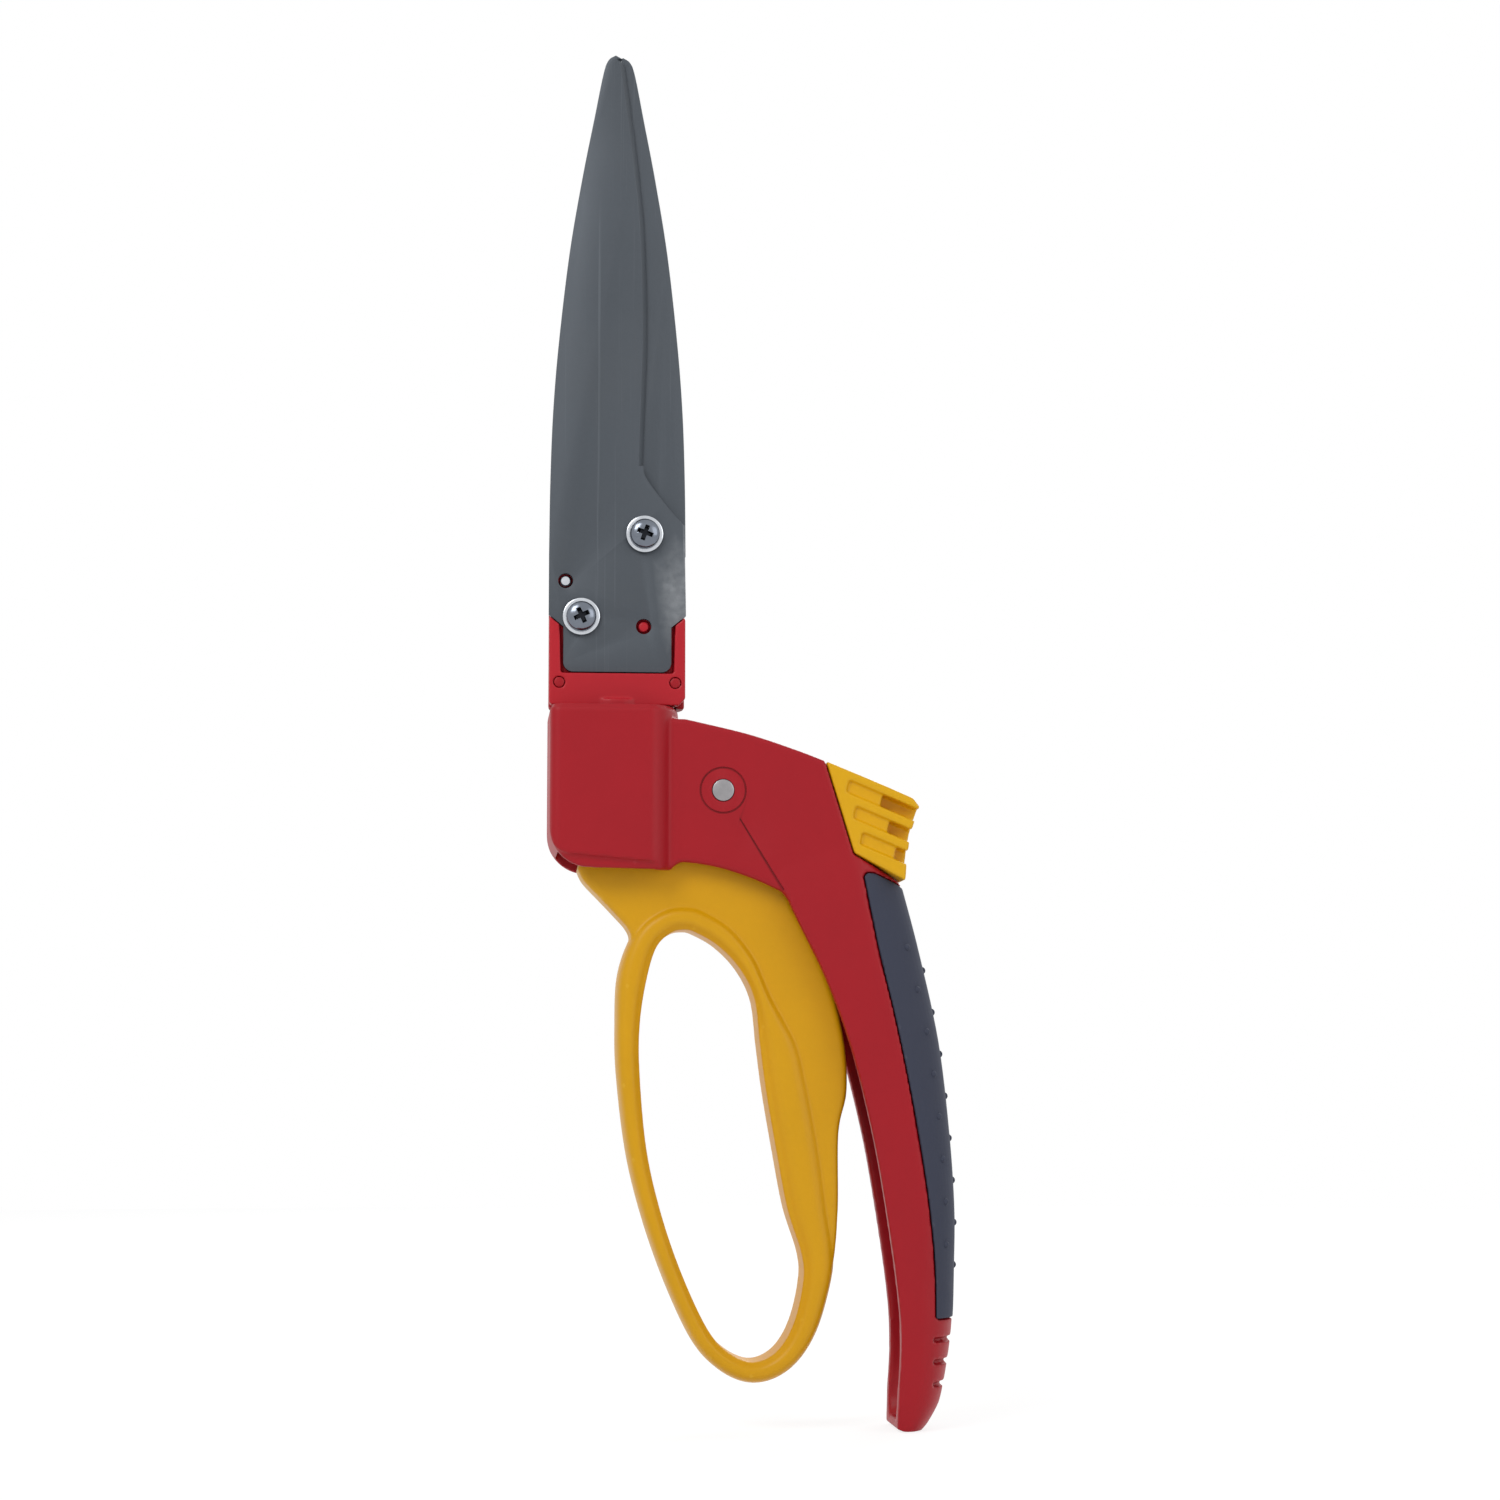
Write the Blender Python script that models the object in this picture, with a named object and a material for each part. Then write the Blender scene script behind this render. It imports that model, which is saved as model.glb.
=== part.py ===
"""Hand-held grass shears with a blade head that swivels through half a turn.

Everything is drawn in millimetres in a drawing frame: X runs from the swivel axis towards the
grip, Y is depth (the blade side faces -Y) and Z runs up the blades. Z is 0 where the head meets the
housing. The shears are drawn closed. At the end the whole model is stood on the world's origin.
"""

import math

import bmesh
import bpy
from mathutils import Matrix, Vector

MM = 0.001

# ---- clearances -------------------------------------------------------------------------------
SEAT_GAP = 0.3          # between a piece and what it rests on
RUN_GAP = 0.35          # around shafts and in guides
SLOT_GAP = 0.45         # either side of the drive pin, which travels on an arc

# ---- head and swivel --------------------------------------------------------------------------
HEAD_RADIUS = 17.25     # outer radius of the head cover
COVER_WALL = 2.0
COVER_STRAIGHT = 40.0   # height at which the dome starts
COVER_DOME = 13.2       # height of the dome
HEAD_LIFT = 0.6         # running gap between head and housing
SPIGOT_RADIUS = 8.7
SPIGOT_LENGTH = 10.5    # below the housing's top face
SPRING_POCKET = 5.2     # radius of the pocket that holds the return spring
POCKET_FLOOR = -8.5
BAR_TOP = 8.7           # top of the carrier's cross bar
BOSS_X = HEAD_RADIUS - 2.55    # the cover's two bosses, whose pegs locate the carrier
BOSS_Z = 6.3

# ---- blades -----------------------------------------------------------------------------------
SHEAR_PLANE = -5.0      # Y of the plane in which the two blades meet
BLADE_THICKNESS = 1.8
BLADE_HALF = 17.4       # half the width at the heel
BLADE_TIP = 169.2
BLADE_HEEL = 39.0       # where the outer edge ends
EDGE_HEEL = 62.0        # where the cutting edge ends
PROFILE_LENGTH = 130.2  # length of the profile that is stretched between heel and tip
BEVEL_WIDTH = 1.3       # ground bevel along the cutting edge
EDGE_LAND = 0.35        # thickness left at the cutting edge
TANG_HALF = 13.7
SHOULDER = 20.5         # height at which the tang widens
PIVOT = (6.8, 44.3)     # blade pivot screw
FIX_SCREW = (-9.2, 23.0)
DOWEL = (-13.2, 32.2)   # steel dowel that locates the lower blade
PEG = (6.65, 20.7)      # moulded peg that locates the lower blade
SCREW_RADIUS = 2.0
WASHER_RADIUS = 4.75
WASHER_THICKNESS = 0.9
SCREW_HEAD_RADIUS = 3.8
SCREW_HEAD_HEIGHT = 2.3
BUSH_RADIUS = 3.3

# ---- drive ------------------------------------------------------------------------------------
ROD_RADIUS = 2.5
DRIVE_ARM = 16.5        # blade pivot to drive pin
DRIVE_START = 211.0     # direction of the drive pin from the pivot, closed, in degrees
BLADE_OPENING = 26.0    # degrees that the upper blade swings
DRIVE_PIN_RADIUS = 1.75

# ---- swivel details ---------------------------------------------------------------------------
THRUST_RADIUS = 10.4
BALL_RADIUS = 1.5
BALL_CIRCLE = 13.0      # radius on which the detent ball sits
BALL_HOLE_FLOOR = -6.0

# ---- trigger ----------------------------------------------------------------------------------
TRIGGER_PIN = (26.5, -21.3)
TRIGGER_PIN_RADIUS = 2.8
WEB_HALF = 6.5
FLANGE_HALF = 9.0

# ---- handle -----------------------------------------------------------------------------------
TOWER_LEFT = -17.1
TOWER_RIGHT = 15.8
TOWER_FLAT = 7.5        # where the flat front and back of the housing end
TOWER_HALF = 16.2       # half the depth of the housing
TOP_WALL = 7.0          # thickness of the housing's top wall
NECK_HALF = 12.3
GRIP_HALF = 13.9
GRIP_TAPER = 0.16       # share of its width that the grip loses towards its end
NECK_BLEND = 0.22       # share of its length over which the grip widens from the neck
WALL = 2.4
PAD_THICKNESS = 1.6
PAD_PROUD = 0.25
FACET_SLACK = 0.2       # extra depth under the insert, since both surfaces are faceted
PAD_LOW = -153.0        # lower end of the soft insert
GRIP_LOW = -180.6       # lower end of the handle
GROOVES = (-158.2, -163.7, -169.3)
TONGUE = 4.0            # thickness of the lock's tongue
TONGUE_HALF = 4.3

# the thumb lock's corners, seen from the side
LOCK_FRONT_TOP = (52.6, -13.7)
LOCK_FRONT_LOW = (59.7, -36.9)
LOCK_BEAK = (76.3, -25.1)
LOCK_BACK_LOW = (72.6, -43.8)
YOKE_HALF = 4.0         # half the height of the yoke on the push rod

# ---- values that follow from the ones above ---------------------------------------------------
LOWER_FACE = SHEAR_PLANE - SEAT_GAP / 2 - BLADE_THICKNESS   # the lower blade's front face
LOWER_BACK = SHEAR_PLANE - SEAT_GAP / 2
UPPER_FRONT = SHEAR_PLANE + SEAT_GAP / 2
UPPER_BACK = UPPER_FRONT + BLADE_THICKNESS
BED = UPPER_BACK + SEAT_GAP                                 # rim of the cover, face of the bosses
DRIVE_PIN = (
    PIVOT[0] + DRIVE_ARM * math.cos(math.radians(DRIVE_START)),
    PIVOT[1] + DRIVE_ARM * math.sin(math.radians(DRIVE_START)),
)
DRIVE_END = DRIVE_START - BLADE_OPENING
ROD_TRAVEL = DRIVE_ARM * (math.sin(math.radians(DRIVE_END)) - math.sin(math.radians(DRIVE_START)))
CLAW = (0.0, TRIGGER_PIN[1] - ROD_TRAVEL / 2)               # where the trigger holds the rod
CLAW_ANGLE = math.atan2(ROD_TRAVEL / 2, TRIGGER_PIN[0])     # half of the trigger's travel
YOKE_LOW = DRIVE_PIN[1] - YOKE_HALF
LOCK_SLIDE = (Vector(LOCK_FRONT_TOP) - Vector(LOCK_FRONT_LOW)).normalized()
BASE = (34.34, 0.525, GRIP_LOW - 0.2)     # the drawing point that stands on the world's origin


# ---- outlines ---------------------------------------------------------------------------------
def bow(points, steps=4):
    """A smooth open curve through the points, sampled steps times between each pair."""
    pts = [Vector(p) for p in points]
    pts = [2 * pts[0] - pts[1]] + pts + [2 * pts[-1] - pts[-2]]
    out = []
    for i in range(1, len(pts) - 2):
        a, b, c, d = pts[i - 1 : i + 3]
        for k in range(steps):
            t = k / steps
            p = b + 0.5 * t * ((c - a) + t * ((2 * a - 5 * b + 4 * c - d) + t * (3 * (b - c) + d - a)))
            out.append((p.x, p.y))
    out.append(tuple(points[-1]))
    return out


def arc(centre, radius, start, end, steps=6):
    """Points on an arc, from start to end in degrees."""
    angles = [math.radians(start + (end - start) * k / steps) for k in range(steps + 1)]
    return [(centre[0] + radius * math.cos(a), centre[1] + radius * math.sin(a)) for a in angles]


def fillet(points, steps=4):
    """A closed outline of (x, z) and (x, z, radius) points: those with a radius are rounded."""
    out = []
    count = len(points)
    for i, point in enumerate(points):
        if len(point) == 2:
            out.append(tuple(point))
            continue
        here = Vector(point[:2])
        before = Vector(points[i - 1][:2]) - here
        after = Vector(points[(i + 1) % count][:2]) - here
        half = before.angle(after) / 2
        reach = min(point[2] / math.tan(half), 0.49 * before.length, 0.49 * after.length)
        radius = reach * math.tan(half)
        centre = here + (before.normalized() + after.normalized()).normalized() * radius / math.sin(half)
        first = here + before.normalized() * reach - centre
        turn = first.angle_signed(here + after.normalized() * reach - centre)
        for k in range(steps + 1):
            spoke = first.copy()
            spoke.rotate(Matrix.Rotation(-turn * k / steps, 2))
            out.append(tuple(centre + spoke))
    return out


def mirrored(points):
    """The outline reflected in the swivel axis."""
    return [(-x, z) for x, z in reversed(points)]


# ---- solids -----------------------------------------------------------------------------------
def finish_mesh(bm, name):
    bmesh.ops.remove_doubles(bm, verts=bm.verts, dist=1e-6)
    bmesh.ops.recalc_face_normals(bm, faces=bm.faces)
    bmesh.ops.scale(bm, vec=(MM, MM, MM), verts=bm.verts)
    mesh = bpy.data.meshes.new(name)
    bm.to_mesh(mesh)
    bm.free()
    mesh.shade_smooth()
    mesh.set_sharp_from_angle(angle=math.radians(35))
    obj = bpy.data.objects.new(name, mesh)
    bpy.context.scene.collection.objects.link(obj)
    return obj


def prism(name, outline, y_front, y_back, bevel=0.0, segments=1):
    """An outline in X and Z, extruded from y_front to y_back, with its rims bevelled."""
    bm = bmesh.new()
    front = bm.faces.new([bm.verts.new((x, y_front, z)) for x, z in outline])
    made = bmesh.ops.extrude_face_region(bm, geom=[front])
    moved = [v for v in made["geom"] if isinstance(v, bmesh.types.BMVert)]
    bmesh.ops.translate(bm, vec=(0, y_back - y_front, 0), verts=moved)
    if bevel:
        rims = [e for e in bm.edges if abs(e.verts[0].co.y - e.verts[1].co.y) < 1e-6]
        bmesh.ops.bevel(bm, geom=rims, offset=bevel, segments=segments, profile=0.5,
                        affect="EDGES", clamp_overlap=True)
    return finish_mesh(bm, name)


def tower(name, outline, z_low, z_high):
    """An outline in X and Y, extruded from z_low to z_high."""
    bm = bmesh.new()
    base = bm.faces.new([bm.verts.new((x, y, z_low)) for x, y in outline])
    made = bmesh.ops.extrude_face_region(bm, geom=[base])
    moved = [v for v in made["geom"] if isinstance(v, bmesh.types.BMVert)]
    bmesh.ops.translate(bm, vec=(0, 0, z_high - z_low), verts=moved)
    return finish_mesh(bm, name)


def turned(name, profile, at=(0, 0, 0), along="Z", steps=24):
    """A closed profile of (radius, height) points, spun about an axis through a point."""
    bm = bmesh.new()
    verts = [bm.verts.new((radius, 0, height)) for radius, height in profile]
    edges = [bm.edges.new((a, b)) for a, b in zip(verts, verts[1:] + verts[:1])]
    bmesh.ops.spin(bm, geom=verts + edges, cent=(0, 0, 0), axis=(0, 0, 1),
                   angle=2 * math.pi, steps=steps, use_merge=True)
    bmesh.ops.remove_doubles(bm, verts=bm.verts, dist=1e-5)
    loose = [e for e in bm.edges if not e.link_faces]
    bmesh.ops.delete(bm, geom=loose, context="EDGES")
    if along == "Y":
        bmesh.ops.rotate(bm, cent=(0, 0, 0), matrix=Matrix.Rotation(-math.pi / 2, 3, "X"), verts=bm.verts)
    bmesh.ops.translate(bm, vec=at, verts=bm.verts)
    return finish_mesh(bm, name)


def disc(name, radius, y_front, y_back, at, steps=20):
    """A round bar along Y through the point at in X and Z."""
    profile = [(0, y_front), (radius, y_front), (radius, y_back), (0, y_back)]
    return turned(name, profile, (at[0], 0, at[1]), "Y", steps)


def box(name, low, high):
    outline = [(low[0], low[2]), (high[0], low[2]), (high[0], high[2]), (low[0], high[2])]
    return prism(name, outline, low[1], high[1])


def shape_with(target, operation, *tools):
    """Joins the tools to the target or cuts them from it, and hides them."""
    for tool in tools:
        modifier = target.modifiers.new(f"{operation.lower()}_{tool.name}", "BOOLEAN")
        modifier.operation = operation
        modifier.solver = "EXACT"
        modifier.object = tool
        tool.hide_render = True
        tool.display_type = "WIRE"
        tool.parent = target
    return target


def join(target, *tools):
    return shape_with(target, "UNION", *tools)


def cut(target, *tools):
    return shape_with(target, "DIFFERENCE", *tools)


# ---- materials --------------------------------------------------------------------------------
def material(name, colour, roughness, metallic=0.0):
    made = bpy.data.materials.new(name)
    made.use_nodes = True
    shader = made.node_tree.nodes["Principled BSDF"]
    shader.inputs["Base Color"].default_value = (*colour, 1.0)
    shader.inputs["Roughness"].default_value = roughness
    shader.inputs["Metallic"].default_value = metallic
    return made


def clear_scene():
    for obj in list(bpy.data.objects):
        bpy.data.objects.remove(obj)


# ---- blades -----------------------------------------------------------------------------------
def up(height):
    """A height above the heel on the profile, stretched to the blade's length."""
    return BLADE_HEEL + height * (BLADE_TIP - BLADE_HEEL) / PROFILE_LENGTH


def blade_back_edge():
    """The outer edge of a blade from its tip to its heel, on the -X side."""
    return bow([(-1.0, BLADE_TIP), (-2.9, BLADE_TIP - 1.4), (-4.2, BLADE_TIP - 5.2), (-6.4, up(113.6)),
                (-9.4, up(97.9)), (-12.6, up(78.2)), (-15.2, up(55.0)), (-16.6, up(36.3)), (-17.2, up(18.0)),
                (-BLADE_HALF, BLADE_HEEL)], steps=2)


def cutting_edge():
    """The cutting edge from the tip down to the heel, on the +X side."""
    return bow([(0.6, BLADE_TIP - 0.9), (1.5, BLADE_TIP - 3.4), (3.6, up(112.0)), (5.5, up(97.0)), (6.8, up(82.0)),
                (7.4, up(59.0)), (7.0, up(41.0)), (6.4, EDGE_HEEL)], steps=2)


def bevelled_blade(name, outline, y_face, y_shear, mirror=False):
    """A blade plate with a ground bevel on the face away from the shear plane."""
    blade = prism(name, outline, min(y_face, y_shear), max(y_face, y_shear))
    edge = cutting_edge()
    side = 1.0
    if mirror:
        edge = mirrored(edge)
        side = -1.0
    out = 1.0 if y_face > y_shear else -1.0
    land = y_shear + out * EDGE_LAND
    beyond = y_face + out * 0.5
    rise = abs(beyond - land) * BEVEL_WIDTH / (BLADE_THICKNESS - EDGE_LAND)
    bm = bmesh.new()
    rings = []
    for x, z in edge:
        section = [(x, land), (x + side * 3.0, land), (x + side * 3.0, beyond), (x - side * rise, beyond)]
        rings.append([bm.verts.new((px, py, z)) for px, py in section])
    for low, high in zip(rings, rings[1:]):
        for k in range(4):
            bm.faces.new((low[k], low[(k + 1) % 4], high[(k + 1) % 4], high[k]))
    bm.faces.new(rings[0])
    bm.faces.new(rings[-1])
    return cut(blade, finish_mesh(bm, name + "_bevel_cutter"))


def lower_blade(steel):
    edge = cutting_edge()
    heel = bow([edge[-1], (6.9, EDGE_HEEL - 2.6), (9.6, EDGE_HEEL - 6.6), (13.4, EDGE_HEEL - 11.4),
                (17.0, EDGE_HEEL - 15.4)], steps=2)
    tang = fillet([(BLADE_HALF, SHOULDER + 3.0), (TANG_HALF, SHOULDER),
                   (TANG_HALF, BAR_TOP + SEAT_GAP, 2.5), (-TANG_HALF, BAR_TOP + SEAT_GAP, 2.5),
                   (-TANG_HALF, SHOULDER), (-BLADE_HALF, SHOULDER + 3.0)])
    outline = edge + heel[1:] + tang + list(reversed(blade_back_edge()))
    blade = bevelled_blade("lower_blade", outline, LOWER_FACE, LOWER_BACK)
    holes = [(PIVOT, SCREW_RADIUS + 0.3), (FIX_SCREW, SCREW_RADIUS + 0.3), (DOWEL, 1.9), (PEG, 1.95)]
    for k, (at, radius) in enumerate(holes):
        cut(blade, disc(f"lower_blade_hole_{k}", radius, LOWER_FACE - 1, LOWER_BACK + 1, at))
    blade.data.materials.append(steel)
    return blade


def upper_blade(steel):
    """The moving blade: a mirror image above the heel, with an arm to the drive pin below."""
    edge = mirrored(cutting_edge())
    back = [(-x, z) for x, z in blade_back_edge()]
    foot = bow([(BLADE_HALF, BLADE_HEEL), (14.6, 36.2), (9.0, 37.2), (2.0, 35.6), (-4.6, 33.4)], steps=2)
    arm = arc(DRIVE_PIN, 3.6, 300, 120, 6)
    inner = bow([arm[-1], (-8.6, 44.0), (-7.2, 52.0), edge[0]], steps=2)
    outline = foot + arm + inner[1:-1] + edge + back[:-1]
    blade = bevelled_blade("upper_blade", outline, UPPER_BACK, UPPER_FRONT, mirror=True)
    cut(blade,
        disc("upper_blade_pivot_hole", BUSH_RADIUS + 0.1, UPPER_FRONT - 1, UPPER_BACK + 1, PIVOT, 32),
        disc("upper_blade_pin_hole", DRIVE_PIN_RADIUS + SEAT_GAP, UPPER_FRONT - 1, UPPER_BACK + 1, DRIVE_PIN))
    blade.data.materials.append(steel)
    return blade


# ---- head -------------------------------------------------------------------------------------
def cover_shell(name, radius, dome, low, rim):
    """A half capsule: a vertical half cylinder with a domed top, open side at Y = rim."""
    columns, rows = 16, 5
    section = [(radius * math.cos(math.pi * k / columns), radius * math.sin(math.pi * k / columns))
               for k in range(columns + 1)]
    bm = bmesh.new()
    rings = []
    levels = [(low, 1.0), (COVER_STRAIGHT, 1.0)]
    levels += [(COVER_STRAIGHT + dome * math.sin(0.5 * math.pi * k / rows), math.cos(0.5 * math.pi * k / rows))
               for k in range(1, rows)]
    for z, share in levels:
        ring = [bm.verts.new((share * section[0][0], rim, z))]
        ring += [bm.verts.new((share * x, share * y, z)) for x, y in section]
        ring.append(bm.verts.new((share * section[-1][0], rim, z)))
        rings.append(ring)
    tip_back = bm.verts.new((0, 0, COVER_STRAIGHT + dome))
    tip_rim = bm.verts.new((0, rim, COVER_STRAIGHT + dome))
    for lower, upper in zip(rings, rings[1:]):
        for k in range(len(lower) - 1):
            bm.faces.new((lower[k], lower[k + 1], upper[k + 1], upper[k]))
        bm.faces.new((lower[-1], lower[0], upper[0], upper[-1]))
    top = rings[-1]
    for k in range(1, len(top) - 2):
        bm.faces.new((top[k], top[k + 1], tip_back))
    bm.faces.new((top[0], top[1], tip_back, tip_rim))
    bm.faces.new((top[-2], top[-1], tip_rim, tip_back))
    bm.faces.new((top[-1], top[0], tip_rim))
    bm.faces.new(rings[0])
    return finish_mesh(bm, name)


def head_cover(red):
    cover = cover_shell("head_cover", HEAD_RADIUS, COVER_DOME, HEAD_LIFT, BED)
    inside = cover_shell("head_cover_cavity", HEAD_RADIUS - COVER_WALL, COVER_DOME - COVER_WALL,
                         HEAD_LIFT - 1.0, BED - 1.0)
    cut(cover, inside)
    for k, side in enumerate((-1, 1)):
        inner, outer = side * (BOSS_X - 1.5), side * (BOSS_X + 1.6)
        low = (min(inner, outer), BED + SEAT_GAP, BOSS_Z - 1.6)
        high = (max(inner, outer), 3.0, BOSS_Z + 1.6)
        join(cover, box(f"head_cover_boss_{k}", low, high),
             disc(f"head_cover_peg_{k}", 1.35, LOWER_FACE - 0.6, 1.0, (side * BOSS_X, BOSS_Z)))
    cover.data.materials.append(red)
    return cover


def blade_carrier(red):
    """The moulding that carries the blades: cross bar with ears, two plates, bosses and the spigot."""
    face = LOWER_FACE - 0.6
    inner = HEAD_RADIUS - COVER_WALL - SEAT_GAP
    bar = prism("blade_carrier", fillet([(-HEAD_RADIUS, HEAD_LIFT), (HEAD_RADIUS, HEAD_LIFT),
                                         (HEAD_RADIUS, SHOULDER + 2.2), (TANG_HALF + 1.0, SHOULDER - 0.3),
                                         (TANG_HALF + 0.6, BAR_TOP), (-TANG_HALF - 0.6, BAR_TOP),
                                         (-TANG_HALF - 1.0, SHOULDER - 0.3), (-HEAD_RADIUS, SHOULDER + 2.2)]),
                face, BED - SEAT_GAP)
    bed_front = LOWER_BACK + SEAT_GAP
    tang_bed = box("carrier_tang_bed", (-TANG_HALF - 1.0, bed_front, HEAD_LIFT + 2),
                   (TANG_HALF + 1.0, BED - SEAT_GAP, 19.0))
    base = tower("carrier_base", [(x, y) for x, y in arc((0, 0), inner, 0, 180, 16)]
                 + [(-inner, BED - 1.0), (inner, BED - 1.0)], HEAD_LIFT, BAR_TOP)
    left_plate = prism("carrier_left_plate", [(-3.6, 5.0), (-3.6, 27.6), (-10.95, 27.6), (-10.95, 35.2),
                                              (-inner, 35.2), (-inner, 5.0)], BED - 0.6, 0.4)
    right_plate = prism("carrier_right_plate", [(3.6, 5.0), (inner, 5.0), (inner, 40.0), (11.0, 47.0),
                                                (5.0, 47.9), (3.6, 46.0)], BED, 0.4)
    pivot_boss = disc("carrier_pivot_boss", 3.6, BED, 3.0, PIVOT)
    fix_boss = disc("carrier_fix_boss", 4.2, bed_front, 4.0, FIX_SCREW)
    peg = disc("carrier_peg", 1.35, LOWER_FACE + 0.5, BED, PEG, 12)
    peg_root = box("carrier_peg_root", (PEG[0] - 2.6, bed_front, 17.0), (PEG[0] + 2.6, BED + 1.0, PEG[1] + 2.4))
    spigot = turned("carrier_spigot", [(0, -SPIGOT_LENGTH), (SPIGOT_RADIUS, -SPIGOT_LENGTH),
                                       (SPIGOT_RADIUS, HEAD_LIFT + 1.5), (0, HEAD_LIFT + 1.5)], steps=32)
    join(bar, tang_bed, base, left_plate, right_plate, pivot_boss, fix_boss, peg, peg_root, spigot)
    pocket = turned("carrier_pocket", [(0, POCKET_FLOOR), (SPRING_POCKET, POCKET_FLOOR),
                                       (SPRING_POCKET, BAR_TOP + 0.05), (0, BAR_TOP + 0.05)])
    bore = ROD_RADIUS + RUN_GAP
    rod_bore = turned("carrier_rod_bore", [(0, -20), (bore, -20), (bore, 60), (0, 60)])
    clip_groove = turned("carrier_clip_groove", [(7.4, -TOP_WALL - 1.7), (12, -TOP_WALL - 1.7),
                                                 (12, -TOP_WALL - 0.4), (7.4, -TOP_WALL - 0.4)], steps=32)
    cut(bar, pocket, rod_bore, clip_groove,
        disc("carrier_pivot_hole", SCREW_RADIUS + 0.2, -8, 9, PIVOT),
        disc("carrier_fix_hole", SCREW_RADIUS + 0.2, -8, 3.4, FIX_SCREW),
        disc("carrier_dowel_hole", 1.4 + 0.2, -8, 9, DOWEL, 16))
    for k, side in enumerate((-1, 1)):
        near, far = side * (BOSS_X - 1.5 - SEAT_GAP), side * (HEAD_RADIUS + 0.75)
        pocket = box(f"carrier_boss_pocket_{k}", (min(near, far), BED, BOSS_Z - 1.6 - SEAT_GAP),
                     (max(near, far), 3.0 + SEAT_GAP, BOSS_Z + 1.6 + SEAT_GAP))
        cut(bar, disc(f"carrier_peg_hole_{k}", 1.35 + SEAT_GAP, -9, 2, (side * BOSS_X, BOSS_Z), 16), pocket)
    for k in range(3):
        angle = math.radians(90 * k)
        dimple = [(0, HEAD_LIFT - 0.2), (1.3, HEAD_LIFT - 0.2), (0.9, HEAD_LIFT + 0.6), (0, HEAD_LIFT + 0.6)]
        cut(bar, turned(f"carrier_dimple_{k}", dimple,
                        (-BALL_CIRCLE * math.cos(angle), BALL_CIRCLE * math.sin(angle), 0), steps=12))
    bar.data.materials.append(red)
    return bar


def screw(name, at, y_end, zinc):
    """A pan-head cross-recess screw along Y."""
    under = LOWER_FACE - SEAT_GAP - WASHER_THICKNESS - 0.1
    top = under - SCREW_HEAD_HEIGHT
    rise = SCREW_HEAD_HEIGHT
    profile = [(0, top), (1.7, top + 0.06 * rise), (2.9, top + 0.26 * rise), (SCREW_HEAD_RADIUS - 0.15, top + 0.62 * rise),
               (SCREW_HEAD_RADIUS, under - 0.3), (SCREW_HEAD_RADIUS, under), (SCREW_RADIUS, under),
               (SCREW_RADIUS, y_end - 0.5), (SCREW_RADIUS - 0.5, y_end), (0, y_end)]
    made = turned(name, profile, (at[0], 0, at[1]), "Y", 24)
    for k, turn in enumerate((20, 110)):
        slot = box(f"{name}_recess_{k}", (-2.1, top - 0.5, -0.42), (2.1, top + 1.3, 0.42))
        slot.data.transform(Matrix.Rotation(math.radians(turn), 4, "Y"))
        slot.data.transform(Matrix.Translation((at[0] * MM, 0, at[1] * MM)))
        cut(made, slot)
    made.data.materials.append(zinc)
    return made


def washer(name, at, zinc):
    back = LOWER_FACE - SEAT_GAP
    front = back - WASHER_THICKNESS
    bore = SCREW_RADIUS + 0.25
    made = turned(name, [(bore, front), (WASHER_RADIUS - 0.15, front), (WASHER_RADIUS, front + 0.15),
                         (WASHER_RADIUS, back), (bore, back)], (at[0], 0, at[1]), "Y", 28)
    made.data.materials.append(zinc)
    return made


def pivot_bush(steel):
    bore = SCREW_RADIUS + 0.2
    front = LOWER_BACK + 0.15
    back = BED - 0.15
    made = turned("pivot_bush", [(bore, front), (BUSH_RADIUS - 0.15, front), (BUSH_RADIUS - 0.15, back), (bore, back)],
                  (PIVOT[0], 0, PIVOT[1]), "Y", 32)
    made.data.materials.append(steel)
    return made


def pivot_nut(zinc):
    """The hexagon lock nut that holds the pivot screw behind the carrier."""
    across = 3.5
    outline = [(PIVOT[0] + across / math.cos(math.pi / 6) * math.cos(math.radians(60 * k + 30)),
                PIVOT[1] + across / math.cos(math.pi / 6) * math.sin(math.radians(60 * k + 30))) for k in range(6)]
    nut = prism("pivot_nut", outline, 3.0 + SEAT_GAP, 6.3)
    cut(nut, disc("pivot_nut_bore", SCREW_RADIUS + 0.2, 0, 9, PIVOT))
    nut.data.materials.append(zinc)
    return nut


def dowel(steel):
    made = turned("blade_dowel", [(0, LOWER_FACE + 0.35), (1.1, LOWER_FACE + 0.4), (1.4, LOWER_FACE + 0.75),
                                  (1.4, 0.9), (0, 0.9)], (DOWEL[0], 0, DOWEL[1]), "Y", 16)
    made.data.materials.append(steel)
    return made


def retaining_ring(steel):
    """The open spring ring that keeps the spigot in the housing."""
    top = -TOP_WALL - 0.55
    outer = arc((0, 0), 10.6, 40, 320, 28)
    inner = arc((0, 0), 7.7, 320, 40, 28)
    ring = tower("swivel_ring", outer + inner, top - 1.0, top)
    ring.data.materials.append(steel)
    return ring


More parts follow.
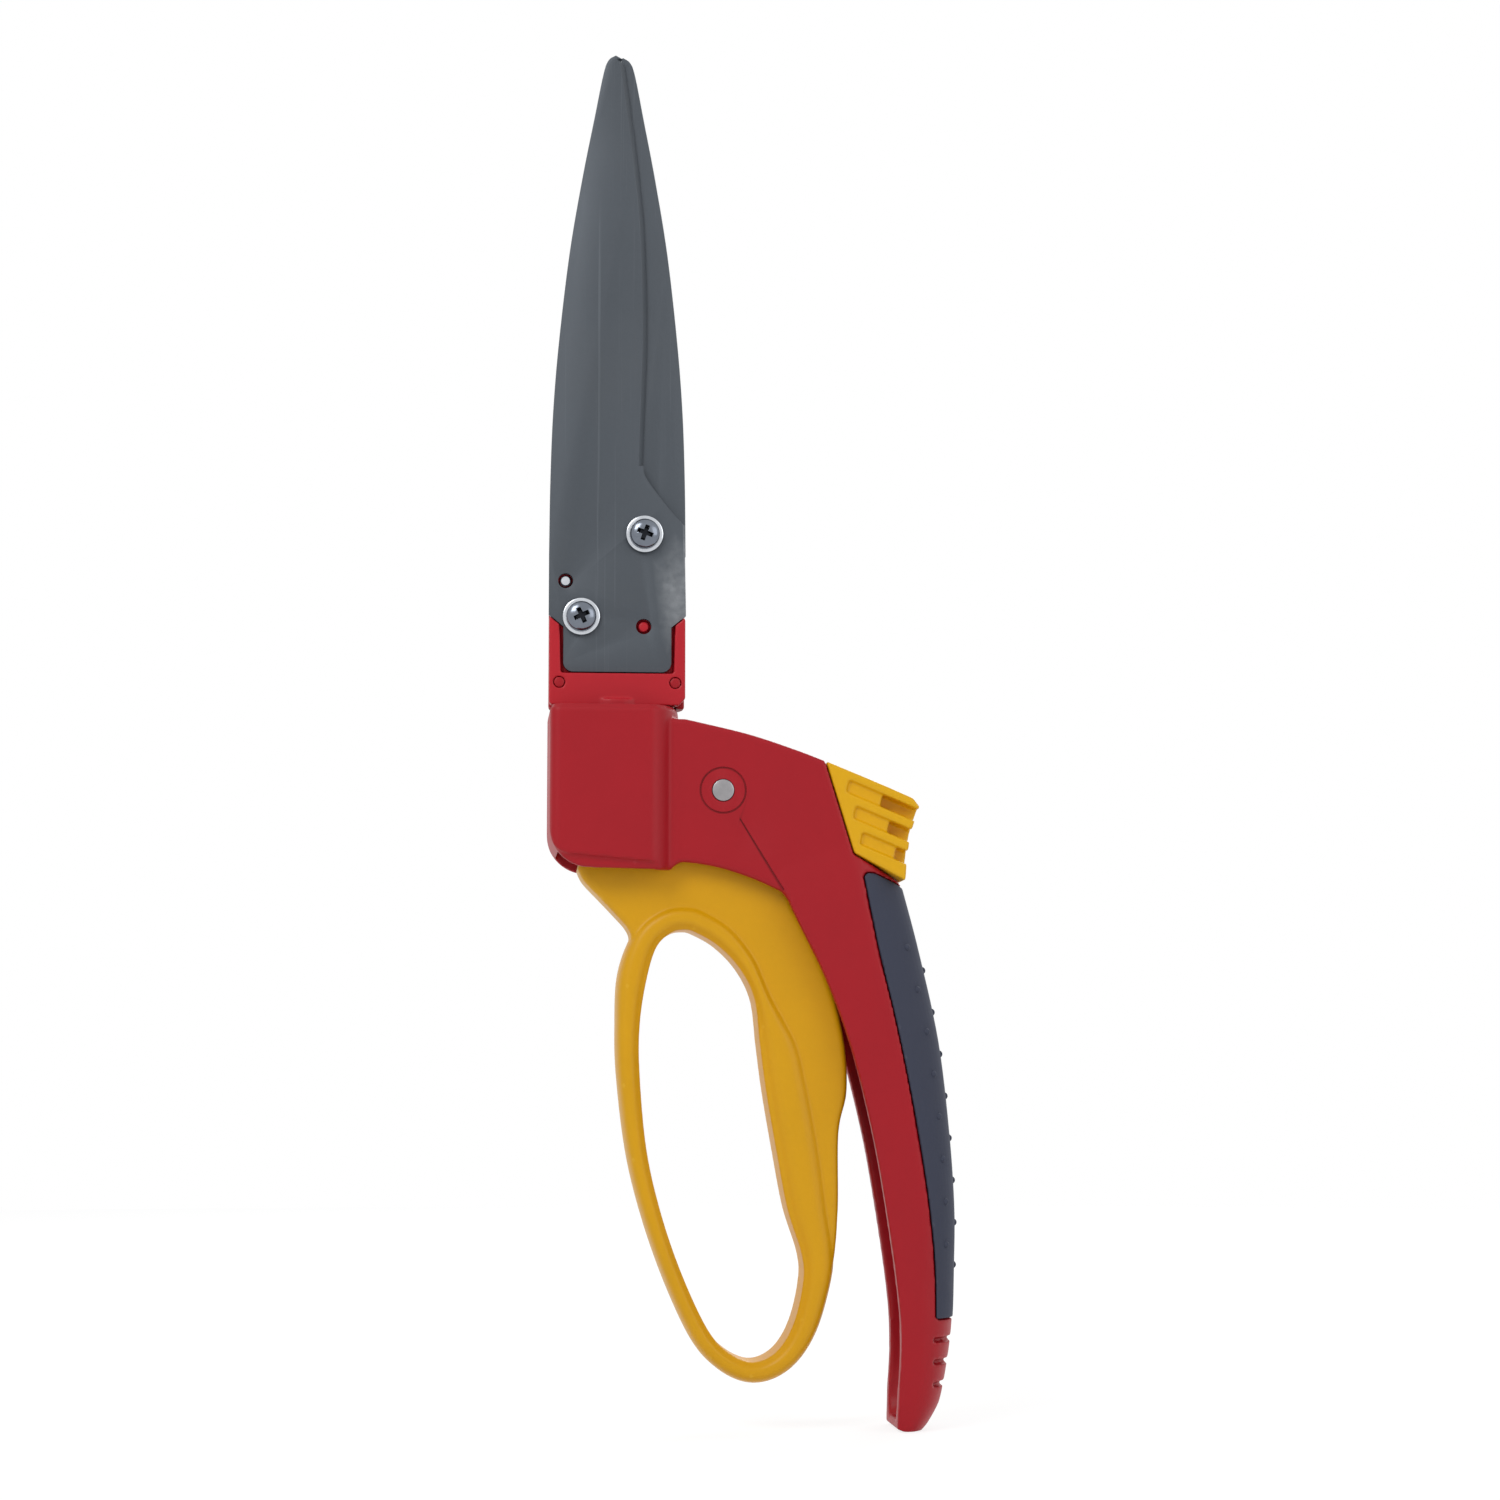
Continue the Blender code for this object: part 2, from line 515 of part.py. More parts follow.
def coil(name, radius, wire, z_low, z_high, turns, at=(0.0, 0.0), per_turn=14, sides=3):
    """A compression spring about a vertical axis, with its end turns closed."""
    count = int(turns * per_turn)
    curve = bpy.data.curves.new(name, "CURVE")
    curve.dimensions = "3D"
    curve.bevel_depth = wire / 2 * MM
    curve.bevel_resolution = sides - 2
    curve.use_fill_caps = True
    spline = curve.splines.new("POLY")
    spline.points.add(count)
    low, high = z_low + wire / 2, z_high - wire / 2
    for k in range(count + 1):
        angle = 2 * math.pi * k / per_turn
        share = k / count
        z = low + (high - low) * (share - math.sin(2 * math.pi * share) / (2 * math.pi) * 0.55)
        point = (at[0] + radius * math.cos(angle), at[1] + radius * math.sin(angle), z)
        spline.points[k].co = (*[c * MM for c in point], 1)
    obj = bpy.data.objects.new(name, curve)
    bpy.context.scene.collection.objects.link(obj)
    return obj


# ---- drive ------------------------------------------------------------------------------------
def push_rod(steel):
    """The rod on the swivel axis: collar for the spring, and a grooved foot in the trigger's claw."""
    collar = POCKET_FLOOR + 8.4
    groove = 2.2
    foot = 3.6
    profile = [(0, CLAW[1] - groove - 1.6), (foot - 0.4, CLAW[1] - groove - 1.6), (foot, CLAW[1] - groove - 1.2),
               (foot, CLAW[1] - groove), (1.9, CLAW[1] - groove), (1.9, CLAW[1] + groove),
               (foot, CLAW[1] + groove), (foot, CLAW[1] + groove + 1.2), (ROD_RADIUS, CLAW[1] + groove + 1.6),
               (ROD_RADIUS, collar), (4.6, collar), (4.6, collar + 1.3), (ROD_RADIUS, collar + 1.3),
               (ROD_RADIUS, YOKE_LOW - SEAT_GAP), (1.3, YOKE_LOW - SEAT_GAP), (1.3, YOKE_LOW + 5.0), (0, YOKE_LOW + 5.0)]
    rod = turned("push_rod", profile, steps=20)
    rod.data.materials.append(steel)
    return rod


def drive_yoke(grey):
    """The forked block on the rod's end. Its slot moves the drive pin."""
    slot = DRIVE_PIN_RADIUS + SLOT_GAP
    x_open, z = DRIVE_PIN[0] - 3.3, DRIVE_PIN[1]
    outline = [(2.4, z - YOKE_HALF), (2.4, z + YOKE_HALF), (x_open, z + YOKE_HALF), (x_open, z + slot),
               (DRIVE_PIN[0] + 2.4, z + slot), (DRIVE_PIN[0] + 2.4, z - slot), (x_open, z - slot),
               (x_open, z - YOKE_HALF)]
    yoke = prism("drive_yoke", outline, UPPER_BACK + 0.6, 3.4)
    bore = turned("drive_yoke_bore", [(0, YOKE_LOW - 1), (1.3 + SEAT_GAP, YOKE_LOW - 1),
                                      (1.3 + SEAT_GAP, YOKE_LOW + 5.3), (0, YOKE_LOW + 5.3)], steps=16)
    cut(yoke, bore)
    yoke.data.materials.append(grey)
    return yoke


def drive_pin(steel):
    low, high = UPPER_FRONT + 0.1, 3.0
    pin = turned("drive_pin", [(0, low), (DRIVE_PIN_RADIUS, low), (DRIVE_PIN_RADIUS, high), (0, high)],
                 (DRIVE_PIN[0], 0, DRIVE_PIN[1]), "Y", 16)
    pin.data.materials.append(steel)
    return pin


# ---- handle -----------------------------------------------------------------------------------
def grip_front():
    """The front lip of the grip, from the neck down to the handle's end."""
    return [(32.5, -30.1), (43.4, -49.9), (52.2, -68.1), (58.5, -85.2), (63.7, -105.7), (66.9, -123.1),
            (70.1, -145.4), (71.0, -159.0), (70.8, -172.5), (70.4, -179.5)]


def grip_back():
    """The back of the grip, from under the lock down to the handle's end."""
    return [(72.6, -43.8), (77.0, -60.7), (82.0, -83.7), (84.7, -106.8), (85.9, -126.0), (85.7, -141.3),
            (85.3, -152.8), (84.3, -161.8), (82.4, -172.0), (80.9, -175.9), (77.6, -179.7), (72.8, -181.2)]


def top_edge():
    """The upper edge of the neck and, beyond it, of the lock."""
    return [(17.1, -3.3), (32.7, -6.9), (44.7, -10.75), LOCK_FRONT_TOP, (65.3, -18.9), (74.6, -22.9)]


def grip_stations(count, inset_side, inset_back, front_shift, low_end):
    """Sections of the grip from top to bottom: front point, back point and half width."""
    front = bow([(40.0, -40.0)] + grip_front()[1:-1] + [(71.4, GRIP_LOW + low_end)], steps=4)
    back = bow([(69.0, -30.0)] + grip_back()[:-2] + [(77.8, GRIP_LOW - 0.2 + low_end)], steps=4)
    out = []
    for k in range(count):
        share = k / (count - 1)
        f = Vector(front[round(share * (len(front) - 1))])
        b = Vector(back[round(share * (len(back) - 1))])
        along = (b - f).normalized()
        taper = 1.0 - GRIP_TAPER * share * share
        narrowing = (GRIP_HALF - NECK_HALF + 0.15) * max(0.0, 1.0 - share / NECK_BLEND)
        out.append((f - along * front_shift, b - along * inset_back, GRIP_HALF * taper - narrowing - inset_side))
    return out


def grip_solid(name, count=15, inset_side=0.0, inset_back=0.0, front_shift=0.0, low_end=0.0):
    """The grip's outer form, or its cavity: flat sides at the lip and a round back."""
    bm = bmesh.new()
    rings = []
    for front, back, half in grip_stations(count, inset_side, inset_back, front_shift, low_end):
        depth = (back - front).length
        along = (back - front).normalized()
        flat = max(depth - half * 1.05, depth * 0.35)
        section = [(0.0, -half), (flat * 0.5, -half)]
        section += [(flat + (depth - flat) * math.sin(a), -half * math.cos(a))
                    for a in [math.pi * k / 8 for k in range(9)]]
        section += [(flat * 0.5, half), (0.0, half)]
        ring = []
        for t, y in section:
            p = front + along * t
            ring.append(bm.verts.new((p.x, y, p.y)))
        rings.append(ring)
    for upper, lower in zip(rings, rings[1:]):
        n = len(upper)
        for k in range(n):
            bm.faces.new((upper[k], upper[(k + 1) % n], lower[(k + 1) % n], lower[k]))
    bm.faces.new(rings[0])
    bm.faces.new(rings[-1])
    return finish_mesh(bm, name)


def lock_outline():
    """The lock seen from the side."""
    top = bow([LOCK_FRONT_TOP, (65.3, -18.9), (74.6, -22.9)], steps=2)
    back = bow([LOCK_BEAK, (74.3, -31.0), (73.2, -37.0), LOCK_BACK_LOW], steps=2)
    return top + back + [LOCK_FRONT_LOW]


def lock_room():
    """The room that the handle leaves for the lock, open upwards and backwards."""
    side = Vector((LOCK_SLIDE.y, -LOCK_SLIDE.x))
    floor = (Vector(LOCK_BACK_LOW) - Vector(LOCK_FRONT_LOW)).normalized()
    low_front = Vector(LOCK_FRONT_LOW) - side * SEAT_GAP - LOCK_SLIDE * SEAT_GAP
    top_front = low_front + LOCK_SLIDE * 45
    corners = [low_front, top_front, top_front + side * 40, low_front + floor * 40]
    return prism("lock_room", [tuple(c) for c in corners], -20, 20)


def pad_limit(name, grow):
    """The part of the grip's surface that the soft insert covers."""
    front = bow([(61.9, -41.2), (65.7, -60.7), (70.2, -79.8), (74.1, -99.1), (77.3, -118.2), (79.2, -133.6),
                 (79.9, -145.0), (80.0, PAD_LOW)], steps=3)
    front = [(x - grow, z) for x, z in front]
    front[0] = (front[0][0], front[0][1] + grow)
    front[-1] = (front[-1][0], front[-1][1] - grow)
    return prism(name, front + [(100, PAD_LOW - grow), (100, -55.5 + grow)], -20, 20)


def handle_body(red):
    """The housing, neck and hollow grip, moulded in one piece and open towards the trigger."""
    corner = 3.0
    centre = (TOWER_LEFT + corner, -TOWER_HALF + corner)
    section = arc(centre, corner, 180, 270, 4)
    section += [(TOWER_FLAT + (TOWER_RIGHT - TOWER_FLAT) * math.sin(a), -TOWER_HALF * math.cos(a))
                for a in [math.pi * k / 12 for k in range(13)]]
    section += arc((centre[0], -centre[1]), corner, 90, 180, 4)
    housing = tower("handle_body", section, -46.0, 0.0)
    underside = ([(-25.0, -28.0), (TOWER_LEFT, -28.0)] + arc((TOWER_LEFT + 11.0, -29.0), 11.0, 180, 262, 6)
                 + [(10.3, -41.6), (30.0, -41.6), (30.0, -60.0), (-25.0, -60.0)])
    cut(housing, prism("housing_underside_cutter", underside, -20, 20))
    neck_low = bow([(16.0, -39.2), (25.96, -40.4), (33.1, -42.2), (39.0, -45.2), (44.5, -51.5)], steps=2)
    neck = prism("handle_neck", bow(top_edge()[:4], 3) + [LOCK_FRONT_LOW, (62.0, -44.0), (52.0, -56.0)]
                 + list(reversed(neck_low)) + [(10.0, -41.0), (5.0, -38.0), (5.0, -3.3)],
                 -NECK_HALF, NECK_HALF, bevel=1.2)
    grip = grip_solid("handle_grip")
    join(housing, neck, grip)
    for k, side in enumerate((-1, 1)):
        join(housing, disc(f"handle_pin_ring_{k}", 6.0, min(side * (NECK_HALF - 1), side * (NECK_HALF + 0.5)),
                           max(side * (NECK_HALF - 1), side * (NECK_HALF + 0.5)), TRIGGER_PIN, 28))
    side_wall = WALL + 0.8
    housing_cavity = box("housing_cavity", (TOWER_LEFT + WALL, -TOWER_HALF + side_wall, -60),
                         (9.0, TOWER_HALF - side_wall, -TOP_WALL))
    neck_cavity = prism("neck_cavity", [(17.0, -TOP_WALL), (32.0, -10.2), (44.0, -13.9), (50.6, -16.4), (56.5, -34.0),
                                        (60.0, -60.0), (30.0, -60.0), (0.0, -60.0), (0.0, -TOP_WALL - 1.0)],
                        -NECK_HALF + WALL, NECK_HALF - WALL)
    grip_cavity = grip_solid("grip_cavity", inset_side=WALL + PAD_THICKNESS - 0.3,
                             inset_back=WALL + PAD_THICKNESS, front_shift=9.0, low_end=WALL + 0.2)
    cut(housing, housing_cavity, neck_cavity, grip_cavity)
    bore = turned("housing_bore", [(0, -TOP_WALL - 1), (SPIGOT_RADIUS + RUN_GAP, -TOP_WALL - 1),
                                   (SPIGOT_RADIUS + RUN_GAP, 1), (0, 1)], steps=32)
    washer_seat = turned("housing_washer_seat", [(0, -0.9), (THRUST_RADIUS + SEAT_GAP, -0.9),
                                                 (THRUST_RADIUS + SEAT_GAP, 1), (0, 1)], steps=32)
    ball_hole = turned("housing_ball_hole", [(0, BALL_HOLE_FLOOR), (1.85, BALL_HOLE_FLOOR), (1.85, 1), (0, 1)],
                       (-BALL_CIRCLE, 0, 0), steps=12)
    pin_hole = disc("housing_pin_hole", TRIGGER_PIN_RADIUS + 0.25, -20, 20, TRIGGER_PIN, 24)
    cut(housing, bore, washer_seat, ball_hole, pin_hole, lock_room())
    recess = grip_solid("insert_recess", inset_side=-1.0, inset_back=-1.0)
    shape_with(recess, "INTERSECT", pad_limit("insert_recess_limit", SEAT_GAP))
    under_pad = PAD_THICKNESS + SEAT_GAP + FACET_SLACK
    cut(recess, grip_solid("insert_recess_core", inset_side=under_pad, inset_back=under_pad,
                           front_shift=20.0, low_end=-6.0))
    cut(housing, recess)
    for k, z in enumerate(GROOVES):
        groove = box(f"grip_groove_{k}", (79.0, -20, z - 0.6), (92.0, 20, z + 0.6))
        cut(groove, grip_solid(f"grip_groove_core_{k}", inset_side=1.1, inset_back=1.1,
                               front_shift=20.0, low_end=-6.0))
        cut(housing, groove)
    housing.data.materials.append(red)
    return housing


def grip_insert(rubber):
    pad = grip_solid("grip_insert", inset_side=-PAD_PROUD, inset_back=-PAD_PROUD)
    shape_with(pad, "INTERSECT", pad_limit("insert_limit", 0.0))
    cut(pad, grip_solid("insert_core", inset_side=PAD_THICKNESS, inset_back=PAD_THICKNESS, front_shift=20.0, low_end=-6.0))
    pad.data.materials.append(rubber)
    return pad


def tongue_corner(across, down):
    """A point on the lock's tongue: across it from its front face, and down from the lock's floor."""
    side = Vector((LOCK_SLIDE.y, -LOCK_SLIDE.x))
    return tuple(Vector(LOCK_FRONT_LOW) + side * (0.6 + across) - LOCK_SLIDE * down)


def thumb_lock(yellow):
    lock = prism("thumb_lock", lock_outline(), -NECK_HALF - 0.2, NECK_HALF + 0.2, bevel=1.3)
    tongue = [tongue_corner(0, -3), tongue_corner(TONGUE, -3), tongue_corner(TONGUE, 8), tongue_corner(0, 8)]
    join(lock, prism("lock_tongue", tongue, -TONGUE_HALF, TONGUE_HALF))
    cut(lock, prism("lock_hollow", [(62.0, -21.5), (70.0, -25.5), (69.6, -36.0), (70.3, -50.0), (66.6, -50.0), (65.9, -36.0),
                                    (63.8, -30.0)],
                    -NECK_HALF + 2.2, NECK_HALF - 2.2))
    along = (Vector((74.6, -22.9)) - Vector(LOCK_FRONT_TOP)).normalized()
    down = Vector((along.y, -along.x))
    for k in range(3):
        middle = Vector((63.4, -22.8)) + down * 4.9 * k
        corners = [middle - along * 4.8 - down * 0.85, middle + along * 5.2 - down * 0.85,
                   middle + along * 5.2 + down * 0.85, middle - along * 4.8 + down * 0.85]
        for side, low, high in (("front", -20, -NECK_HALF + 0.9), ("back", NECK_HALF - 0.9, 20)):
            cut(lock, prism(f"lock_groove_{side}_{k}", [tuple(c) for c in corners], low, high))
    pocket = [tongue_corner(TONGUE + 1, 1.2), tongue_corner(TONGUE - 1.6, 1.2), tongue_corner(TONGUE - 1.6, 7.2),
              tongue_corner(TONGUE + 1, 7.2)]
    cut(lock, prism("lock_spring_pocket", pocket, -3.4, 3.4))
    lock.data.materials.append(yellow)
    return lock


def lock_spring(steel):
    """The bowed leaf that makes the lock click, seated in the lock's tongue."""
    inner, outer = [], []
    for k in range(9):
        t = -1 + 0.25 * k
        across = TONGUE - 1.35 + 0.95 * (1 - t * t)
        inner.append(tongue_corner(across, 4.2 + 2.7 * t))
        outer.append(tongue_corner(across + 0.4, 4.2 + 2.7 * t))
    leaf = prism("lock_spring", inner + list(reversed(outer)), -3.1, 3.1)
    leaf.data.materials.append(steel)
    return leaf


# ---- trigger ----------------------------------------------------------------------------------
def trigger(yellow):
    """The squeezed lever: a finger loop with a web that turns on the pin and ends in a claw."""
    front = bow([(-9.3, -42.4), (-6.0, -46.0), (0.2, -53.0), (3.3, -57.2), (1.6, -63.0), (0.2, -72.1),
                 (0.3, -87.5), (1.5, -102.8), (4.7, -118.3), (8.6, -133.6), (15.0, -149.0), (22.2, -160.4),
                 (27.6, -166.2), (34.6, -168.9)], steps=2)
    rear = bow([(34.6, -168.9), (41.8, -166.0), (47.4, -160.4), (51.4, -152.6), (54.6, -140.0), (55.9, -126.0),
                (56.1, -107.0), (58.2, -96.5), (57.6, -84.0), (54.6, -71.0), (50.5, -60.0), (45.0, -50.0)], steps=2)
    roof = [(40.5, -42.5), (20.0, -43.0), (0.0, -42.6), (-4.0, -42.2)]
    loop = prism("trigger", front + rear[1:] + roof, -FLANGE_HALF, FLANGE_HALF, bevel=1.5, segments=2)
    opening = bow([(17.3, -56.2), (13.9, -56.9), (10.1, -60.6), (7.6, -69.0), (6.0, -80.0), (6.0, -92.0),
                   (7.7, -110.5), (11.2, -126.0), (16.4, -141.2), (23.0, -155.3), (28.4, -161.2), (34.6, -163.6),
                   (40.4, -161.0), (44.6, -154.2), (47.0, -144.0), (46.6, -137.0), (43.1, -126.0), (40.4, -112.0),
                   (37.8, -97.0), (36.2, -85.0), (34.8, -73.6), (31.0, -65.8), (25.4, -60.0), (19.8, -56.8)], steps=2)
    bow_guard = prism("finger_opening", opening, -15, 15)
    claw = (CLAW[0], CLAW[1])
    web = prism("trigger_web", arc(claw, 3.3, 100, 250, 6)
                + [(2.0, -31.0), (-6.0, -34.5), (-8.6, -38.5), (-8.4, -46.0), (10.0, -50.0), (40.0, -60.0),
                   (50.0, -66.0), (51.0, -61.0), (45.0, -49.0), (37.0, -35.0)]
                + arc(TRIGGER_PIN, 7.0, -20, 95, 6) + [(13.0, -17.0), (6.0, -19.0)], -WEB_HALF, WEB_HALF)
    join(loop, web)
    cut(loop, bow_guard,
        box("trigger_rod_slot", (-20, -4.2, -33.2), (5.4, 4.2, -8)),
        disc("trigger_pin_bore", TRIGGER_PIN_RADIUS + RUN_GAP, -20, 20, TRIGGER_PIN, 28))
    for k, side in enumerate((-1, 1)):
        join(loop, disc(f"trigger_tine_{k}", 1.85, min(side * 2.35, side * 5), max(side * 2.35, side * 5), CLAW, 16))
    loop.data.materials.append(yellow)
    return loop


def trigger_pin(steel):
    end = NECK_HALF + 0.4
    profile = [(0, -end), (TRIGGER_PIN_RADIUS - 0.4, -end), (TRIGGER_PIN_RADIUS, -end + 0.4),
               (TRIGGER_PIN_RADIUS, end - 0.4), (TRIGGER_PIN_RADIUS - 0.4, end), (0, end)]
    pin = turned("trigger_pin", profile, (TRIGGER_PIN[0], 0, TRIGGER_PIN[1]), "Y", 28)
    pin.data.materials.append(steel)
    return pin


def pin_spacer(name, side, nylon):
    low, high = WEB_HALF + SEAT_GAP, NECK_HALF - WALL - SEAT_GAP
    bore = TRIGGER_PIN_RADIUS + 0.25
    profile = [(bore, min(side * low, side * high)), (5.6, min(side * low, side * high)),
               (5.6, max(side * low, side * high)), (bore, max(side * low, side * high))]
    spacer = turned(name, profile, (TRIGGER_PIN[0], 0, TRIGGER_PIN[1]), "Y", 24)
    spacer.data.materials.append(nylon)
    return spacer


# ---- swivel details ---------------------------------------------------------------------------
def thrust_washer(nylon):
    made = turned("swivel_washer", [(SPIGOT_RADIUS + RUN_GAP, -0.6), (THRUST_RADIUS, -0.6), (THRUST_RADIUS, 0.3),
                                    (SPIGOT_RADIUS + RUN_GAP, 0.3)], steps=32)
    made.data.materials.append(nylon)
    return made


def detent_ball(steel):
    bm = bmesh.new()
    bmesh.ops.create_uvsphere(bm, u_segments=16, v_segments=10, radius=BALL_RADIUS)
    bmesh.ops.translate(bm, vec=(-BALL_CIRCLE, 0, HEAD_LIFT - 0.2 - BALL_RADIUS), verts=bm.verts)
    ball = finish_mesh(bm, "detent_ball")
    ball.data.materials.append(steel)
    return ball


# ---- placing ----------------------------------------------------------------------------------
def joint(name, at, parent=None, parent_at=BASE):
    """An empty on a joint's axis, at a point of the drawing."""
    empty = bpy.data.objects.new(name, None)
    empty.empty_display_size = 0.01
    bpy.context.scene.collection.objects.link(empty)
    empty.parent = parent
    empty.location = (Vector(at) - Vector(parent_at)) * MM
    return empty


def hang(empty, at, *pieces):
    """Parents pieces, whose meshes are in drawing coordinates, to an empty at a drawing point."""
    for piece in pieces:
        piece.parent = empty
        piece.location = -Vector(at) * MM


def main():
    clear_scene()
    red = material("red_plastic", (0.62, 0.01, 0.03), 0.45)
    light_red = material("light_red_plastic", (0.68, 0.03, 0.05), 0.45)
    coated = material("coated_steel", (0.09, 0.11, 0.14), 0.5, 0.3)
    zinc = material("zinc_steel", (0.75, 0.76, 0.78), 0.25, 1.0)
    spring_steel = material("spring_steel", (0.5, 0.5, 0.52), 0.3, 1.0)
    grey = material("grey_plastic", (0.2, 0.2, 0.22), 0.5)
    nylon = material("white_nylon", (0.8, 0.8, 0.76), 0.5)
    rubber = material("grip_rubber", (0.06, 0.07, 0.1), 0.75)
    yellow = material("yellow_plastic", (0.75, 0.4, 0.01), 0.4)

    head_at = (0, 0, 0)
    blade_at = (PIVOT[0], SHEAR_PLANE, PIVOT[1])
    trigger_at = (TRIGGER_PIN[0], 0, TRIGGER_PIN[1])
    lock_at = (LOCK_FRONT_LOW[0], 0, LOCK_FRONT_LOW[1])
    body = joint("shears_base", BASE)
    head = joint("head_swivel_axis", head_at, body)
    rod = joint("push_rod_axis", head_at, head, head_at)
    blade = joint("blade_pivot_axis", blade_at, head, head_at)
    lever = joint("trigger_axis", trigger_at, body)
    lock = joint("lock_slide_axis", lock_at, body)

    detent_spring = coil("detent_spring", 1.15, 0.4, BALL_HOLE_FLOOR + 0.15,
                         HEAD_LIFT - 0.2 - 2 * BALL_RADIUS - 0.15, 4.5, (-BALL_CIRCLE, 0), 10)
    detent_spring.data.materials.append(spring_steel)
    return_spring = coil("return_spring", 4.15, 0.9, POCKET_FLOOR + 0.3, POCKET_FLOOR + 8.1, 5.5)
    return_spring.data.materials.append(spring_steel)

    hang(body, BASE, handle_body(red), grip_insert(rubber), trigger_pin(zinc),
         pin_spacer("pin_spacer_front", -1, nylon), pin_spacer("pin_spacer_back", 1, nylon),
         thrust_washer(nylon), detent_ball(zinc), detent_spring)
    hang(head, head_at, blade_carrier(light_red), head_cover(red), lower_blade(coated), dowel(zinc),
         pivot_bush(zinc), pivot_nut(zinc), retaining_ring(spring_steel), return_spring)
    for name, at, end in (("pivot_screw", PIVOT, 7.6), ("fixing_screw", FIX_SCREW, 3.1)):
        hang(head, head_at, screw(name, at, end, zinc), washer(name.replace("screw", "washer"), at, zinc))
    hang(rod, head_at, push_rod(zinc), drive_yoke(grey))
    hang(blade, blade_at, upper_blade(coated), drive_pin(zinc))
    hang(lever, trigger_at, trigger(yellow))
    hang(lock, lock_at, thumb_lock(yellow), lock_spring(spring_steel))


main()
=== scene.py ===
import math
import bmesh
import bpy
from mathutils import Matrix, Vector


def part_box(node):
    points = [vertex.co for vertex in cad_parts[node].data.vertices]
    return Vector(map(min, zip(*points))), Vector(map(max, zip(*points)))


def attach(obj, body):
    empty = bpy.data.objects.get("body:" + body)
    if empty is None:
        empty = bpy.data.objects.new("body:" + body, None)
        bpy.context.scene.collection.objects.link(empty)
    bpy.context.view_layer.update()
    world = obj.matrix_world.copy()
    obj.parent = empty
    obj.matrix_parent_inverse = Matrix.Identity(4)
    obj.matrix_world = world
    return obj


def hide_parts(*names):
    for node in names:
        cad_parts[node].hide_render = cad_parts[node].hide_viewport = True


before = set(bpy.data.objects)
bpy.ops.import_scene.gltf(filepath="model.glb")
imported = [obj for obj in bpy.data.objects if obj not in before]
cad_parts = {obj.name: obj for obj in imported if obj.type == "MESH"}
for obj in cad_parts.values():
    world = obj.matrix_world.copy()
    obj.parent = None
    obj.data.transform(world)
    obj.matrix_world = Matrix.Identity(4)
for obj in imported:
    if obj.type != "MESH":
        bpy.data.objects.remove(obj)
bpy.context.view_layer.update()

mm = 0.001
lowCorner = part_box("handle_body")[0]
handleCorner = (-17.1, -16.2, -180.8)  # the same corner in the drawing
drawingShift = Vector([low * 1000 - corner for low, corner in zip(lowCorner, handleCorner)])
past = 20  # half width of a cutter that goes right through a piece


# outlines, all in millimetres: x from the swivel axis, z from the top of the housing
def bowLine(points, steps=8):  # smooth line through the points
    pts = [Vector(p) for p in points]
    pts = [2 * pts[0] - pts[1]] + pts + [2 * pts[-1] - pts[-2]]
    out = []
    for i in range(1, len(pts) - 2):
        a, b, c, d = pts[i - 1:i + 3]
        for k in range(steps):
            t = k / steps
            p = b + 0.5 * t * ((c - a) + t * ((2 * a - 5 * b + 4 * c - d) + t * (3 * (b - c) + d - a)))
            out.append(tuple(p))
    out.append(tuple(points[-1]))
    return out


def arcLine(centre, radius, start, end, steps=12):
    angles = [math.radians(start + (end - start) * k / steps) for k in range(steps + 1)]
    return [(centre[0] + radius * math.cos(a), centre[1] + radius * math.sin(a)) for a in angles]


# mesh helpers
def newPiece(bm, name):
    bmesh.ops.remove_doubles(bm, verts=bm.verts, dist=1e-5)
    bmesh.ops.recalc_face_normals(bm, faces=bm.faces)
    mesh = bpy.data.meshes.new(name)
    bm.to_mesh(mesh)
    bm.free()
    obj = bpy.data.objects.new(name, mesh)
    bpy.context.scene.collection.objects.link(obj)
    return obj


def plate(name, outline, yFront, yBack, bevel=0.0, segments=3):
    bm = bmesh.new()
    front = bm.faces.new([bm.verts.new((x, yFront, z)) for x, z in outline])
    made = bmesh.ops.extrude_face_region(bm, geom=[front])
    moved = [v for v in made["geom"] if isinstance(v, bmesh.types.BMVert)]
    bmesh.ops.translate(bm, vec=(0, yBack - yFront, 0), verts=moved)
    if bevel:
        rims = [e for e in bm.edges if abs(e.verts[0].co.y - e.verts[1].co.y) < 1e-6]
        bmesh.ops.bevel(bm, geom=rims, offset=bevel, segments=segments, profile=0.5, affect="EDGES",
                        clamp_overlap=True)
    return newPiece(bm, name)


def column(name, outline, zLow, zHigh):
    bm = bmesh.new()
    base = bm.faces.new([bm.verts.new((x, y, zLow)) for x, y in outline])
    made = bmesh.ops.extrude_face_region(bm, geom=[base])
    moved = [v for v in made["geom"] if isinstance(v, bmesh.types.BMVert)]
    bmesh.ops.translate(bm, vec=(0, 0, zHigh - zLow), verts=moved)
    return newPiece(bm, name)


def lathe(name, profile, at=(0, 0, 0), alongY=False, steps=64):
    bm = bmesh.new()
    verts = [bm.verts.new((radius, 0, height)) for radius, height in profile]
    edges = [bm.edges.new((a, b)) for a, b in zip(verts, verts[1:] + verts[:1])]
    bmesh.ops.spin(bm, geom=verts + edges, cent=(0, 0, 0), axis=(0, 0, 1), angle=2 * math.pi, steps=steps,
                   use_merge=True)
    bmesh.ops.remove_doubles(bm, verts=bm.verts, dist=1e-4)
    bmesh.ops.delete(bm, geom=[e for e in bm.edges if not e.link_faces], context="EDGES")
    if alongY:
        bmesh.ops.rotate(bm, cent=(0, 0, 0), matrix=Matrix.Rotation(-math.pi / 2, 3, "X"), verts=bm.verts)
    bmesh.ops.translate(bm, vec=at, verts=bm.verts)
    return newPiece(bm, name)


